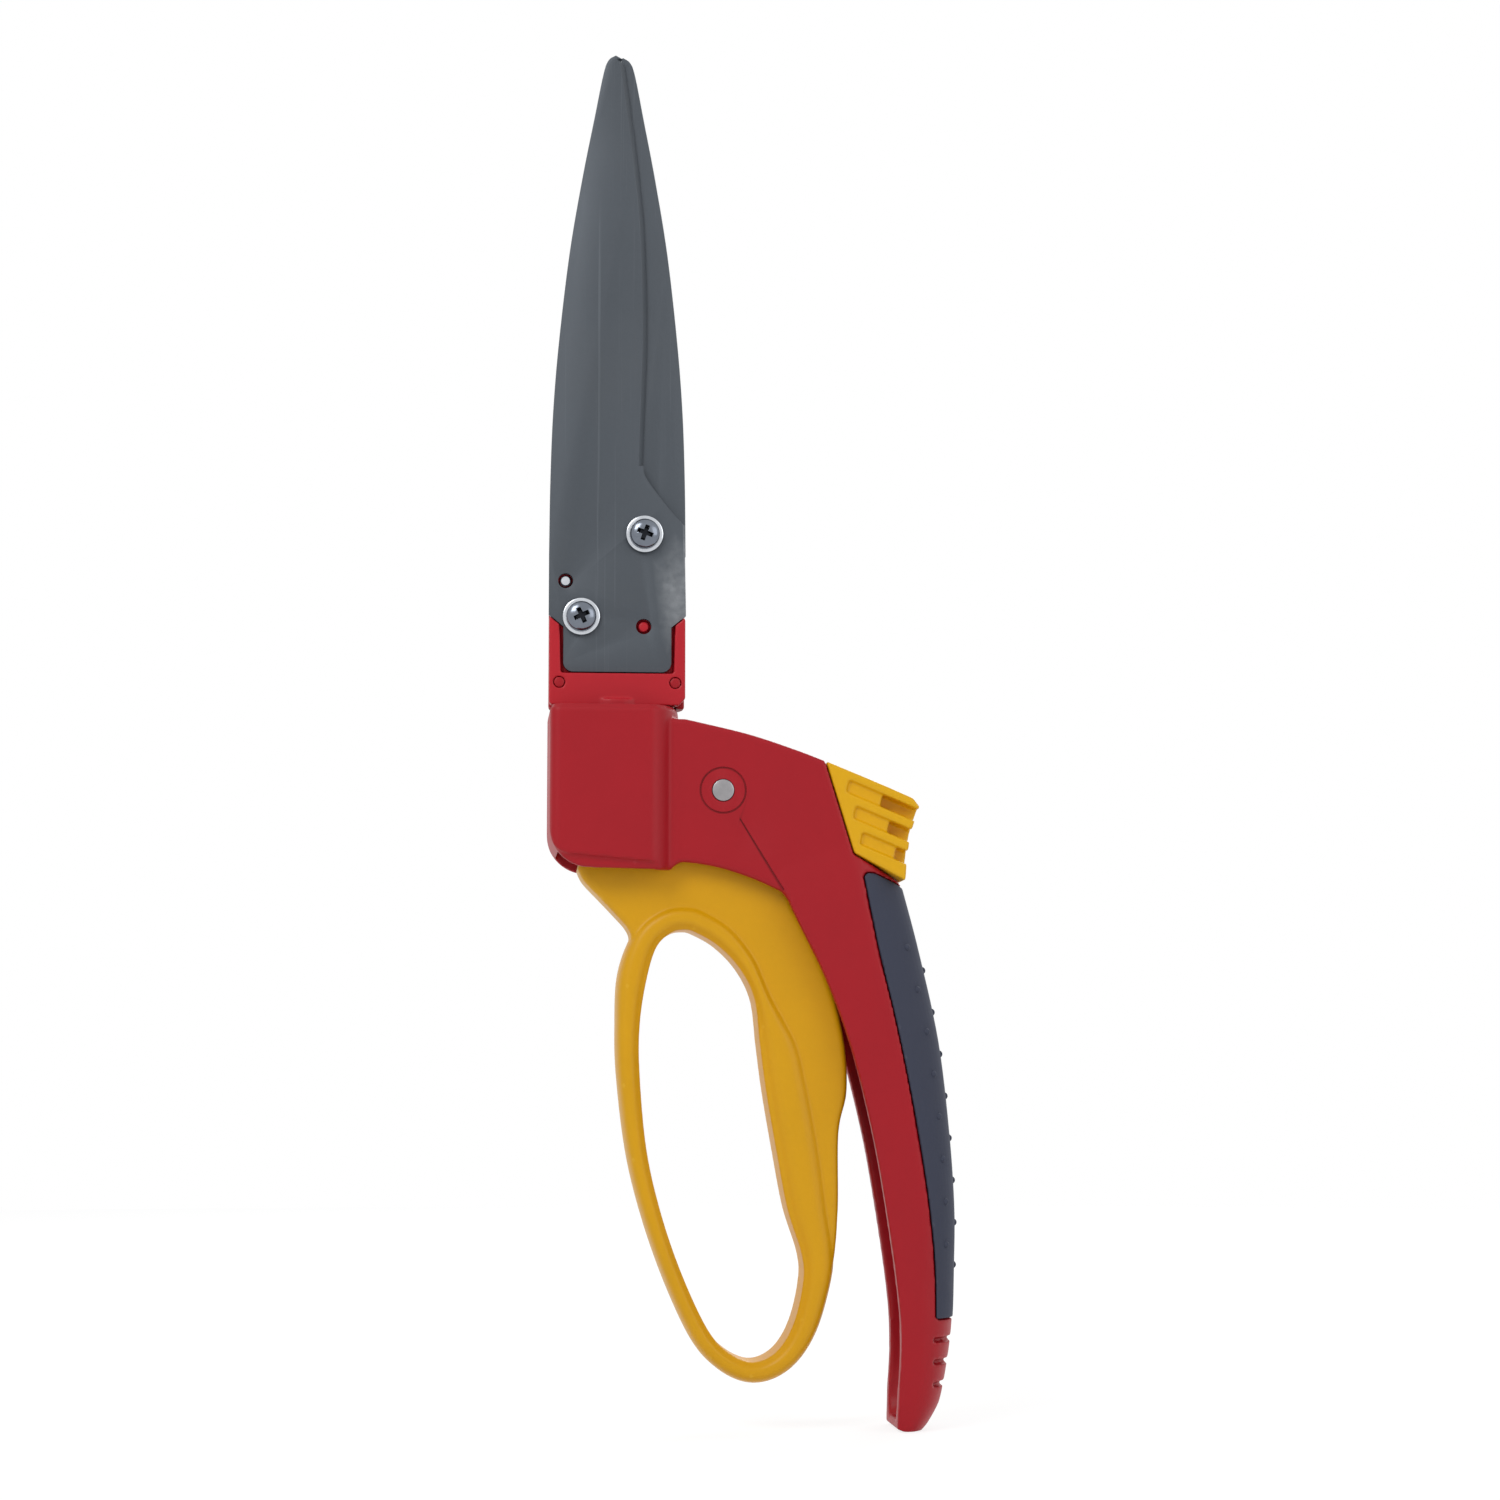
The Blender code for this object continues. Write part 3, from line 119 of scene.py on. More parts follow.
def rod(name, radius, yFront, yBack, at, steps=48):  # a round bar along y
    profile = [(0, yFront), (radius, yFront), (radius, yBack), (0, yBack)]
    return lathe(name, profile, (at[0], 0, at[1]), True, steps)


def disc(name, radius, zLow, zHigh, at=(0, 0, 0), steps=64):  # a round bar along z
    return lathe(name, [(0, zLow), (radius, zLow), (radius, zHigh), (0, zHigh)], at, steps=steps)


def block(name, low, high):
    corners = [(low[0], low[2]), (high[0], low[2]), (high[0], high[2]), (low[0], high[2])]
    return plate(name, corners, low[1], high[1])


def settle(obj):  # turns an object's modifiers into its mesh and drops the cutters
    tools = [m.object for m in obj.modifiers if m.type == "BOOLEAN" and m.object]
    bpy.context.view_layer.update()
    evaluated = obj.evaluated_get(bpy.context.evaluated_depsgraph_get())
    mesh = bpy.data.meshes.new_from_object(evaluated)
    obj.modifiers.clear()
    old, obj.data = obj.data, mesh
    bpy.data.meshes.remove(old)
    for tool in tools:
        if tool.name in bpy.data.objects:
            bpy.data.objects.remove(tool)
    return obj


def combine(target, operation, tools):
    for tool in tools:
        modifier = target.modifiers.new(tool.name, "BOOLEAN")
        modifier.operation = operation
        modifier.solver = "EXACT"
        modifier.object = tool
    return settle(target)


def weld(target, *tools):
    return combine(target, "UNION", tools)


def carve(target, *tools):
    return combine(target, "DIFFERENCE", tools)


def mould(obj, voxel, relax, keep):  # even skin with softened edges, like a moulding
    remesh = obj.modifiers.new("skin", "REMESH")
    remesh.mode = "VOXEL"
    remesh.voxel_size = voxel
    smooth = obj.modifiers.new("soften", "SMOOTH")
    smooth.factor = 0.5
    smooth.iterations = relax
    thin = obj.modifiers.new("thin", "DECIMATE")
    thin.ratio = keep
    settle(obj)
    obj.data.shade_smooth()
    return obj


def smoothEdges(obj, angle=40):
    obj.data.shade_smooth()
    obj.data.set_sharp_from_angle(angle=math.radians(angle))
    return obj


def crisp(obj, width):  # sharp-edged metal with a fine broken edge
    bevel = obj.modifiers.new("brokenEdge", "BEVEL")
    bevel.width = width
    bevel.segments = 2
    bevel.limit_method = "ANGLE"
    bevel.angle_limit = math.radians(40)
    settle(obj)
    return smoothEdges(obj, 30)


def fit(obj, body, material, *nodes):  # puts a finished piece in the frame
    obj.data.transform(Matrix.Scale(mm, 4) @ Matrix.Translation(drawingShift))
    obj.data.materials.clear()
    obj.data.materials.append(material)
    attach(obj, body)
    if nodes:
        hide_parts(*nodes)
    return obj


# shader groups
def newGroup(name, inputs, outputs):
    group = bpy.data.node_groups.new(name, "ShaderNodeTree")
    for label, value in inputs:
        kind = "NodeSocketColor" if isinstance(value, tuple) else "NodeSocketFloat"
        socket = group.interface.new_socket(name=label, in_out="INPUT", socket_type=kind)
        socket.default_value = value
    for label, kind in outputs:
        group.interface.new_socket(name=label, in_out="OUTPUT", socket_type=kind)
    return group, group.nodes.new("NodeGroupInput"), group.nodes.new("NodeGroupOutput")


def addNode(tree, kind, values=None, links=None, **settings):
    node = tree.nodes.new(kind)
    for key, value in settings.items():
        setattr(node, key, value)
    for key, value in (values or {}).items():
        node.inputs[key].default_value = value
    for key, source in (links or {}).items():
        tree.links.new(source, node.inputs[key])
    return node


def mathNode(tree, operation, a, b, clamp=False):
    node = tree.nodes.new("ShaderNodeMath")
    node.operation = operation
    node.use_clamp = clamp
    for i, value in enumerate((a, b)):
        if isinstance(value, (int, float)):
            node.inputs[i].default_value = value
        else:
            tree.links.new(value, node.inputs[i])
    return node.outputs[0]


def makeMottleGroup():  # slow colour drift of a moulding, with flow marks
    group, gin, gout = newGroup("mottle", [("Colour", (0.5, 0.5, 0.5, 1)), ("Amount", 0.1), ("Size", 60.0)],
                                [("Colour", "NodeSocketColor"), ("Mask", "NodeSocketFloat")])
    place = addNode(group, "ShaderNodeTexCoord")
    broad = addNode(group, "ShaderNodeTexNoise", {"Detail": 3.0, "Roughness": 0.55},
                    {"Vector": place.outputs["Object"], "Scale": gin.outputs["Size"]})
    fine = addNode(group, "ShaderNodeTexNoise", {"Scale": 900.0, "Detail": 2.0}, {"Vector": place.outputs["Object"]})
    both = mathNode(group, "ADD", mathNode(group, "MULTIPLY", broad.outputs["Fac"], 0.75),
                    mathNode(group, "MULTIPLY", fine.outputs["Fac"], 0.25))
    swing = mathNode(group, "SUBTRACT", both, 0.5)
    drift = mathNode(group, "MULTIPLY", swing, gin.outputs["Amount"])
    value = mathNode(group, "ADD", mathNode(group, "MULTIPLY", drift, 4.0), 1.0)
    shade = addNode(group, "ShaderNodeHueSaturation", links={"Value": value, "Color": gin.outputs["Colour"]})
    group.links.new(shade.outputs[0], gout.inputs["Colour"])
    group.links.new(both, gout.inputs["Mask"])
    return group


def makeGrainGroup():  # fine spark-eroded texture
    group, gin, gout = newGroup("grain", [("Size", 2400.0), ("Coarse", 0.3)], [("Height", "NodeSocketFloat")])
    place = addNode(group, "ShaderNodeTexCoord")
    tiny = addNode(group, "ShaderNodeTexNoise", {"Detail": 2.0, "Roughness": 0.6},
                   {"Vector": place.outputs["Object"], "Scale": gin.outputs["Size"]})
    slow = addNode(group, "ShaderNodeTexNoise", {"Scale": 220.0, "Detail": 2.0}, {"Vector": place.outputs["Object"]})
    swell = mathNode(group, "MULTIPLY", slow.outputs["Fac"], gin.outputs["Coarse"])
    total = mathNode(group, "ADD", tiny.outputs["Fac"], swell)
    group.links.new(total, gout.inputs["Height"])
    return group


def makeEdgeGroup():  # 1 on rubbed outer edges, and a second mask in the creases that carries painted shade
    group, gin, gout = newGroup("edgeWearAndCreaseShade", [("Start", 0.53), ("Breakup", 260.0)],
                                [("Rubbed", "NodeSocketFloat"), ("ShadeInCreases", "NodeSocketFloat")])
    place = addNode(group, "ShaderNodeTexCoord")
    shape = addNode(group, "ShaderNodeNewGeometry")
    noise = addNode(group, "ShaderNodeTexNoise", {"Detail": 4.0},
                    {"Vector": place.outputs["Object"], "Scale": gin.outputs["Breakup"]})
    over = mathNode(group, "SUBTRACT", shape.outputs["Pointiness"], gin.outputs["Start"])
    steep = mathNode(group, "MULTIPLY", over, 14.0, True)
    patchy = mathNode(group, "MULTIPLY", steep, mathNode(group, "MULTIPLY", noise.outputs["Fac"], 1.5), True)
    # painted shade: the crease mask grows where the surface is hollow, where shade falls
    hollow = mathNode(group, "SUBTRACT", 0.47, shape.outputs["Pointiness"])
    under = mathNode(group, "MULTIPLY", hollow, 12.0, True)
    group.links.new(patchy, gout.inputs["Rubbed"])
    group.links.new(under, gout.inputs["ShadeInCreases"])
    return group


def makeScratchGroup():  # thin scratches and rub marks along the blades
    group, gin, gout = newGroup("scratches", [("Length", 6.0), ("Width", 900.0), ("Share", 0.62)],
                                [("Mask", "NodeSocketFloat"), ("Smear", "NodeSocketFloat")])
    place = addNode(group, "ShaderNodeTexCoord")
    apart = addNode(group, "ShaderNodeSeparateXYZ", links={"Vector": place.outputs["Object"]})
    squeezed = addNode(group, "ShaderNodeCombineXYZ", links={
        "X": mathNode(group, "MULTIPLY", apart.outputs["X"], gin.outputs["Width"]),
        "Y": mathNode(group, "MULTIPLY", apart.outputs["Y"], 40.0),
        "Z": mathNode(group, "MULTIPLY", apart.outputs["Z"], gin.outputs["Length"])})
    lines = addNode(group, "ShaderNodeTexNoise", {"Scale": 1.0, "Detail": 5.0, "Roughness": 0.65},
                    {"Vector": squeezed.outputs[0]})
    over = mathNode(group, "SUBTRACT", lines.outputs["Fac"], gin.outputs["Share"])
    mask = mathNode(group, "MULTIPLY", over, 9.0, True)
    smear = addNode(group, "ShaderNodeTexNoise", {"Scale": 28.0, "Detail": 4.0, "Roughness": 0.6},
                    {"Vector": place.outputs["Object"]})
    group.links.new(mask, gout.inputs["Mask"])
    group.links.new(smear.outputs["Fac"], gout.inputs["Smear"])
    return group


mottleGroup = makeMottleGroup()
grainGroup = makeGrainGroup()
edgeGroup = makeEdgeGroup()
scratchGroup = makeScratchGroup()
print("shader groups ready")


def useGroup(tree, group, **values):
    node = tree.nodes.new("ShaderNodeGroup")
    node.node_tree = group
    for key, value in values.items():
        node.inputs[key].default_value = value
    return node


def blendColours(tree, mask, share, first, second):  # the mask times its share lays the second over the first
    factor = mathNode(tree, "MULTIPLY", mask, share)
    mix = tree.nodes.new("ShaderNodeMix")
    mix.data_type = "RGBA"
    tree.links.new(factor, mix.inputs[0])
    for socket, value in ((mix.inputs[6], first), (mix.inputs[7], second)):
        if isinstance(value, tuple):
            socket.default_value = value
        else:
            tree.links.new(value, socket)
    return mix.outputs[2]


def blank(name):
    material = bpy.data.materials.new(name)
    material.use_nodes = True
    return material, material.node_tree, material.node_tree.nodes["Principled BSDF"]


def feedSurface(tree, shader, roughness, spread, mask, height, strength):
    limits = {"From Min": 0.25, "From Max": 0.75, "To Min": roughness - spread, "To Max": roughness + spread}
    rough = addNode(tree, "ShaderNodeMapRange", limits, {"Value": mask})
    tree.links.new(rough.outputs[0], shader.inputs["Roughness"])
    bump = addNode(tree, "ShaderNodeBump", {"Strength": strength, "Distance": 0.00004}, {"Height": height})
    tree.links.new(bump.outputs[0], shader.inputs["Normal"])


def makePlastic(name, colour, rubbed, creaseShade, roughness, drift, grain=2400.0, strength=0.25):
    material, tree, shader = blank(name)
    mottle = useGroup(tree, mottleGroup, Colour=(*colour, 1), Amount=drift, Size=55.0)
    edge = useGroup(tree, edgeGroup, Start=0.54, Breakup=300.0)
    fine = useGroup(tree, grainGroup, Size=grain, Coarse=0.5)
    # painted shade: creases and hollows darkened towards the creaseShade colour
    dark = blendColours(tree, edge.outputs["ShadeInCreases"], 0.6, mottle.outputs["Colour"], (*creaseShade, 1))
    worn = blendColours(tree, edge.outputs["Rubbed"], 0.3, dark, (*rubbed, 1))
    tree.links.new(worn, shader.inputs["Base Color"])
    feedSurface(tree, shader, roughness, 0.06, mottle.outputs["Mask"], fine.outputs["Height"], strength)
    shader.inputs["Specular IOR Level"].default_value = 0.3
    return material


def makeCoatedSteel(name, look):
    material, tree, shader = blank(name)
    mottle = useGroup(tree, mottleGroup, Colour=(*look["colour"], 1), Amount=look["drift"], Size=24.0)
    edge = useGroup(tree, edgeGroup, Start=0.56, Breakup=500.0)
    marks = useGroup(tree, scratchGroup, Length=look["length"], Width=look["width"], Share=look["share"])
    scuffed = blendColours(tree, marks.outputs["Mask"], look["scuff"], mottle.outputs["Colour"],
                           (*look["scuffColour"], 1))
    hazy = mathNode(tree, "SUBTRACT", marks.outputs["Smear"], 0.5, True)
    smeared = blendColours(tree, hazy, look["smear"], scuffed, (*look["smearColour"], 1))
    worn = blendColours(tree, edge.outputs["Rubbed"], 0.6, smeared, (*look["bare"], 1))
    tree.links.new(worn, shader.inputs["Base Color"])
    shader.inputs["Metallic"].default_value = look["metallic"]
    feedSurface(tree, shader, look["roughness"], 0.07, marks.outputs["Smear"], marks.outputs["Mask"], 0.12)
    return material


def makeMetal(name, colour, roughness, creaseShadeColour):
    material, tree, shader = blank(name)
    mottle = useGroup(tree, mottleGroup, Colour=(*colour, 1), Amount=0.12, Size=400.0)
    edge = useGroup(tree, edgeGroup, Start=0.55, Breakup=700.0)
    fine = useGroup(tree, grainGroup, Size=1500.0, Coarse=1.0)
    # painted shade: creases and hollows darkened towards the crease shade colour
    creaseShadedColour = blendColours(tree, edge.outputs["ShadeInCreases"], 0.8, mottle.outputs["Colour"], (*creaseShadeColour, 1))
    tree.links.new(creaseShadedColour, shader.inputs["Base Color"])
    shader.inputs["Metallic"].default_value = 1.0
    feedSurface(tree, shader, roughness, 0.06, mottle.outputs["Mask"], fine.outputs["Height"], 0.08)
    return material


def srgb(*levels):  # linear colour from levels of 0 to 255
    return tuple(c / 12.92 if c <= 0.04045 else ((c + 0.055) / 1.055) ** 2.4 for c in [v / 255 for v in levels])


redPlastic = makePlastic("redPlastic", srgb(164, 12, 28), srgb(190, 58, 66), srgb(84, 2, 10), 0.46, 0.05)
carrierPlastic = makePlastic("carrierPlastic", srgb(184, 26, 40), srgb(204, 74, 80), srgb(100, 4, 14), 0.44, 0.04)
yellowPlastic = makePlastic("yellowPlastic", srgb(218, 160, 2), srgb(236, 190, 60), srgb(120, 80, 4), 0.42, 0.04)
lockPlastic = makePlastic("lockPlastic", srgb(228, 172, 8), srgb(242, 200, 80), srgb(150, 92, 4), 0.4, 0.04)
gripRubber = makePlastic("gripRubber", srgb(58, 62, 78), srgb(92, 96, 110), srgb(30, 32, 42), 0.72, 0.07, 1700.0, 0.5)
greyPlastic = makePlastic("greyPlastic", srgb(60, 60, 64), srgb(96, 96, 100), srgb(28, 28, 30), 0.5, 0.1)
bladeLook = {"colour": srgb(74, 80, 87), "drift": 0.07, "length": 9.0, "width": 1100.0, "share": 0.6,
             "scuff": 0.18, "scuffColour": srgb(128, 134, 140), "smear": 0.28, "smearColour": srgb(104, 106, 108),
             "bare": srgb(150, 154, 158), "metallic": 0.35, "roughness": 0.46}
coatedSteel = makeCoatedSteel("coatedSteel", bladeLook)
brightZinc = makeMetal("brightZinc", srgb(198, 202, 208), 0.24, srgb(80, 82, 88))
screwSteel = makeMetal("screwSteel", srgb(116, 122, 132), 0.2, srgb(22, 24, 28))
# painted shade: near-black steel for the inside of the screws' cross recess
recessShade = makeMetal("recessShade", srgb(40, 42, 47), 0.4, srgb(10, 10, 12))
pinSteel = makeMetal("pinSteel", srgb(150, 148, 150), 0.34, srgb(60, 60, 62))
springSteel = makeMetal("springSteel", srgb(150, 152, 156), 0.3, srgb(60, 60, 64))
print("materials ready")


# the lower and upper blade
blade = {"shearY": -5.0, "gap": 0.15, "thick": 1.8, "bevelWidth": 1.3, "land": 0.35, "shoulder": (17.4, 23.5),
         "tang": (13.7, 20.5), "tangFoot": 9.0, "tangRound": 2.5, "pivot": (6.8, 44.3), "fixing": (-9.2, 23.0),
         "dowel": (-13.2, 32.2), "peg": (6.65, 20.7), "pinReach": 16.5, "pinAngle": 211, "pinEye": 3.6, "edge": 0.1}
lowerHoles = {"pivot": 2.3, "fixing": 2.3, "dowel": 1.9, "peg": 1.95}
upperHoles = {"pivot": 3.4, "pin": 2.05}
lowerFace = blade["shearY"] - blade["gap"] - blade["thick"]
lowerBack = blade["shearY"] - blade["gap"]
upperFront = blade["shearY"] + blade["gap"]
upperBack = upperFront + blade["thick"]


def bladeBack():
    return bowLine([(-1.0, 169.2), (-2.9, 167.8), (-4.2, 164.0), (-6.4, 152.6), (-9.4, 136.9), (-12.6, 117.2),
                    (-15.2, 94.0), (-16.6, 75.3), (-17.2, 57.0), (-17.4, 39.0)], 6)


def bladeEdge():
    return bowLine([(0.6, 168.3), (1.5, 165.8), (3.6, 151.0), (5.5, 136.0), (6.8, 121.0), (7.4, 98.0),
                    (7.0, 80.0), (6.4, 62.0)], 6)


def grindEdge(obj, edge, side, yFace, yShear):  # the ground bevel along the cutting edge
    out = 1.0 if yFace > yShear else -1.0
    land = yShear + out * blade["land"]
    beyond = yFace + out * 0.5
    rise = abs(beyond - land) * blade["bevelWidth"] / (blade["thick"] - blade["land"])
    bm = bmesh.new()
    rings = []
    for x, z in edge:
        section = [(x, land), (x + side * 3, land), (x + side * 3, beyond), (x - side * rise, beyond)]
        rings.append([bm.verts.new((px, py, z)) for px, py in section])
    for low, high in zip(rings, rings[1:]):
        for k in range(4):
            bm.faces.new((low[k], low[(k + 1) % 4], high[(k + 1) % 4], high[k]))
    bm.faces.new(rings[0])
    bm.faces.new(rings[-1])
    return carve(obj, newPiece(bm, "grind"))


def makeLowerBlade():
    edge = bladeEdge()
    heel = bowLine([edge[-1], (6.9, 59.4), (9.6, 55.4), (13.4, 50.6), (17.0, 46.6)], 6)
    rounding = blade["tangRound"]
    cornerX, cornerZ = blade["tang"][0] - rounding, blade["tangFoot"] + rounding
    side = [blade["shoulder"], blade["tang"]]
    tang = side + arcLine((cornerX, cornerZ), rounding, 0, -90, 8)
    tang += arcLine((-cornerX, cornerZ), rounding, 270, 180, 8)
    tang += [(-x, z) for x, z in reversed(side)]
    obj = plate("lowerBlade", edge + heel[1:] + tang + list(reversed(bladeBack())), lowerFace, lowerBack)
    grindEdge(obj, edge, 1.0, lowerFace, lowerBack)
    carve(obj, *[rod(f"{spot}Hole", radius, lowerFace - 1, lowerBack + 1, blade[spot])
                 for spot, radius in lowerHoles.items()])
    return fit(crisp(obj, blade["edge"]), "head", coatedSteel, "lower_blade")


def makeUpperBlade():
    edge = [(-x, z) for x, z in reversed(bladeEdge())]
    back = [(-x, z) for x, z in bladeBack()]
    (pivotX, pivotZ), turn = blade["pivot"], math.radians(blade["pinAngle"])
    pin = (pivotX + blade["pinReach"] * math.cos(turn), pivotZ + blade["pinReach"] * math.sin(turn))
    foot = bowLine([(17.4, 39.0), (14.6, 36.2), (9.0, 37.2), (2.0, 35.6), (-4.6, 33.4)], 6)
    arm = arcLine(pin, blade["pinEye"], 300, 120, 16)
    inner = bowLine([arm[-1], (-8.6, 44.0), (-7.2, 52.0), edge[0]], 6)
    obj = plate("upperBlade", foot + arm + inner[1:-1] + edge + back[:-1], upperFront, upperBack)
    grindEdge(obj, edge, -1.0, upperBack, upperFront)
    carve(obj, rod("pivotHole", upperHoles["pivot"], upperFront - 1, upperBack + 1, blade["pivot"]),
          rod("pinHole", upperHoles["pin"], upperFront - 1, upperBack + 1, pin))
    return fit(crisp(obj, blade["edge"]), "moving_blade", coatedSteel, "upper_blade")


makeLowerBlade()
makeUpperBlade()
print("blades ready")


# screws and washers
screw = {"shank": 2.0, "radius": 3.8, "height": 2.3, "side": 0.45, "clear": 0.1, "slotReach": 2.4, "slotHalf": 0.62,
         "slotDeep": 1.7, "edge": 0.08}
washer = {"bore": 2.25, "flat": 3.9, "radius": 4.75, "thick": 0.9, "gap": 0.3}


def makeScrew(name, at, turn, yEnd, node):
    under = lowerFace - washer["gap"] - washer["thick"] - screw["clear"]
    rise, side, radius, shank = screw["height"], screw["side"], screw["radius"], screw["shank"]
    top = under - rise
    angles = [math.radians(a) for a in range(0, 90, 9)]
    dome = [(radius * math.sin(a), under - side - (rise - side) * math.cos(a) ** 0.85) for a in angles]
    profile = dome + [(radius, under - 0.4), (radius, under), (shank, under), (shank, yEnd), (0, yEnd)]
    obj = lathe(name, profile, (at[0], 0, at[1]), True, 64)
    cutters = []
    reach, half = screw["slotReach"], screw["slotHalf"]
    for k, angle in enumerate((turn, turn + 90)):
        corners = [(-reach, -half), (reach, -half), (reach, half), (-reach, half)]
        slot = plate(f"slot{k}", corners, top - 0.5, top + screw["slotDeep"])
        for vert in slot.data.vertices:
            if vert.co.y > top:
                vert.co.x *= 0.55
                vert.co.z *= 0.75
        slot.data.transform(Matrix.Rotation(math.radians(angle), 4, "Y"))
        slot.data.transform(Matrix.Translation((at[0], 0, at[1])))
        cutters.append(slot)
    carve(obj, *cutters)
    obj = fit(crisp(obj, screw["edge"]), "head", screwSteel, node)
    # painted shade: faces inside the cross recess take the near-black recess finish
    obj.data.materials.append(recessShade)
    centre = mm * (Vector((at[0], 0, at[1])) + drawingShift)
    low, high = (mm * (drawingShift.y + top + deep) for deep in (0.42, 1.8))
    for face in obj.data.polygons:
        x, y, z = face.center
        if low < y < high and math.hypot(x - centre.x, z - centre.z) < reach * mm:
            face.material_index = 1
    return obj


def makeWasher(name, at, node):
    back = lowerFace - washer["gap"]
    front = back - washer["thick"]
    bore, outer = washer["bore"], washer["radius"]
    profile = [(bore, front + 0.05), (washer["flat"], front + 0.05), (outer - 0.3, front), (outer - 0.08, front + 0.12),
               (outer, front + 0.35), (outer, back - 0.2), (outer - 0.12, back), (bore, back)]
    obj = lathe(name, profile, (at[0], 0, at[1]), True, 72)
    return fit(smoothEdges(obj), "head", brightZinc, node)


makeScrew("pivotScrew", blade["pivot"], 20, 7.6, "pivot_screw")
makeScrew("fixingScrew", blade["fixing"], 65, 3.1, "fixing_screw")
makeWasher("pivotWasher", blade["pivot"], "pivot_washer")
makeWasher("fixingWasher", blade["fixing"], "fixing_washer")
print("screws ready")


# head cover with its swivel mark
cover = {"radius": 17.25, "wall": 2.0, "straight": 40.0, "dome": 13.2, "low": 0.25, "rim": -2.75, "pegX": 14.7,
         "pegZ": 6.3, "pegRadius": 1.35, "voxel": 0.32}


def capsule(name, radius, dome, low, rim):  # half a tube with a domed top
    columns, rows = 48, 16
    section = [(radius * math.cos(math.pi * k / columns), radius * math.sin(math.pi * k / columns))
               for k in range(columns + 1)]
    straight = cover["straight"]
    levels = [(low, 1.0), (straight, 1.0)]
    levels += [(straight + dome * math.sin(0.5 * math.pi * k / rows), math.cos(0.5 * math.pi * k / rows))
               for k in range(1, rows)]
    bm = bmesh.new()
    rings = []
    for z, share in levels:
        ring = [bm.verts.new((share * section[0][0], rim, z))]
        ring += [bm.verts.new((share * x, share * y, z)) for x, y in section]
        ring.append(bm.verts.new((share * section[-1][0], rim, z)))
        rings.append(ring)
    tipBack, tipRim = (bm.verts.new((0, y, straight + dome)) for y in (0, rim))
    for lower, upper in zip(rings, rings[1:]):
        for k in range(len(lower) - 1):
            bm.faces.new((lower[k], lower[k + 1], upper[k + 1], upper[k]))
        bm.faces.new((lower[-1], lower[0], upper[0], upper[-1]))
    top = rings[-1]
    for k in range(1, len(top) - 2):
        bm.faces.new((top[k], top[k + 1], tipBack))
    bm.faces.new((top[0], top[1], tipBack, tipRim))
    bm.faces.new((top[-2], top[-1], tipRim, tipBack))
    bm.faces.new((top[-1], top[0], tipRim))
    bm.faces.new(rings[0])
    return newPiece(bm, name)


def wrapOnCover(obj, depth):  # bends a flat mark, drawn in x and y, round the back of the cover
    bm = bmesh.new()
    bm.from_mesh(obj.data)
    bmesh.ops.remove_doubles(bm, verts=bm.verts, dist=1e-4)
    for vert in bm.verts:
        angle = vert.co.x / cover["radius"]
        reach = cover["radius"] + (0.5 if vert.co.z > 0 else -depth)
        vert.co = Vector((-reach * math.sin(angle), reach * math.cos(angle), vert.co.y))
    bmesh.ops.recalc_face_normals(bm, faces=bm.faces)
    bm.to_mesh(obj.data)
    bm.free()
    return obj


def flatMark(name, outline):
    bm = bmesh.new()
    face = bm.faces.new([bm.verts.new((x, z, -1)) for x, z in outline])
    made = bmesh.ops.extrude_face_region(bm, geom=[face])
    moved = [v for v in made["geom"] if isinstance(v, bmesh.types.BMVert)]
    bmesh.ops.translate(bm, vec=(0, 0, 2), verts=moved)
    return newPiece(bm, name)


def flatRing(name, x, z, wide, high, stroke):  # an oval stroke of a numeral
    steps = 32
    bm = bmesh.new()
    loops = []
    angles = [2 * math.pi * k / steps for k in range(steps)]
    for grow, depth in ((0, -1), (0, 1), (-stroke, 1), (-stroke, -1)):
        loops.append([bm.verts.new((x + (wide + grow) * math.cos(a), z + (high + grow) * math.sin(a), depth))
                      for a in angles])
    for near, far in zip(loops, loops[1:] + loops[:1]):
        for k in range(steps):
            bm.faces.new((near[k], near[(k + 1) % steps], far[(k + 1) % steps], far[k]))
    return newPiece(bm, name)


turnMark = {"middle": 10.0, "stroke": 0.95, "depth": 0.6}


def makeTurnMark():  # 180 degrees, between two arrows
    z, stroke = turnMark["middle"], turnMark["stroke"]
    one = [(-6.2, z - 2.35), (-5.2, z - 2.35), (-5.2, z + 2.35), (-5.95, z + 2.35), (-7.1, z + 1.4), (-7.1, z + 0.6),
           (-6.2, z + 1.2)]
    marks = [flatMark("one", one), flatRing("eightLow", -2.2, z - 1.05, 1.65, 1.35, stroke),
             flatRing("eightHigh", -2.2, z + 1.2, 1.4, 1.2, stroke), flatRing("nought", 2.2, z, 1.6, 2.4, stroke),
             flatRing("degree", 5.6, z + 2.0, 0.95, 0.95, 0.5)]
    arrow = [(8.0, z - 2.35), (13.6, z - 2.35), (13.6, z - 4.65), (19.4, z), (13.6, z + 4.65), (13.6, z + 2.35),
             (8.0, z + 2.35)]
    marks += [flatMark(f"arrow{k}", [(side * px, pz) for px, pz in arrow]) for k, side in enumerate((-1, 1))]
    return [wrapOnCover(mark, turnMark["depth"]) for mark in marks]


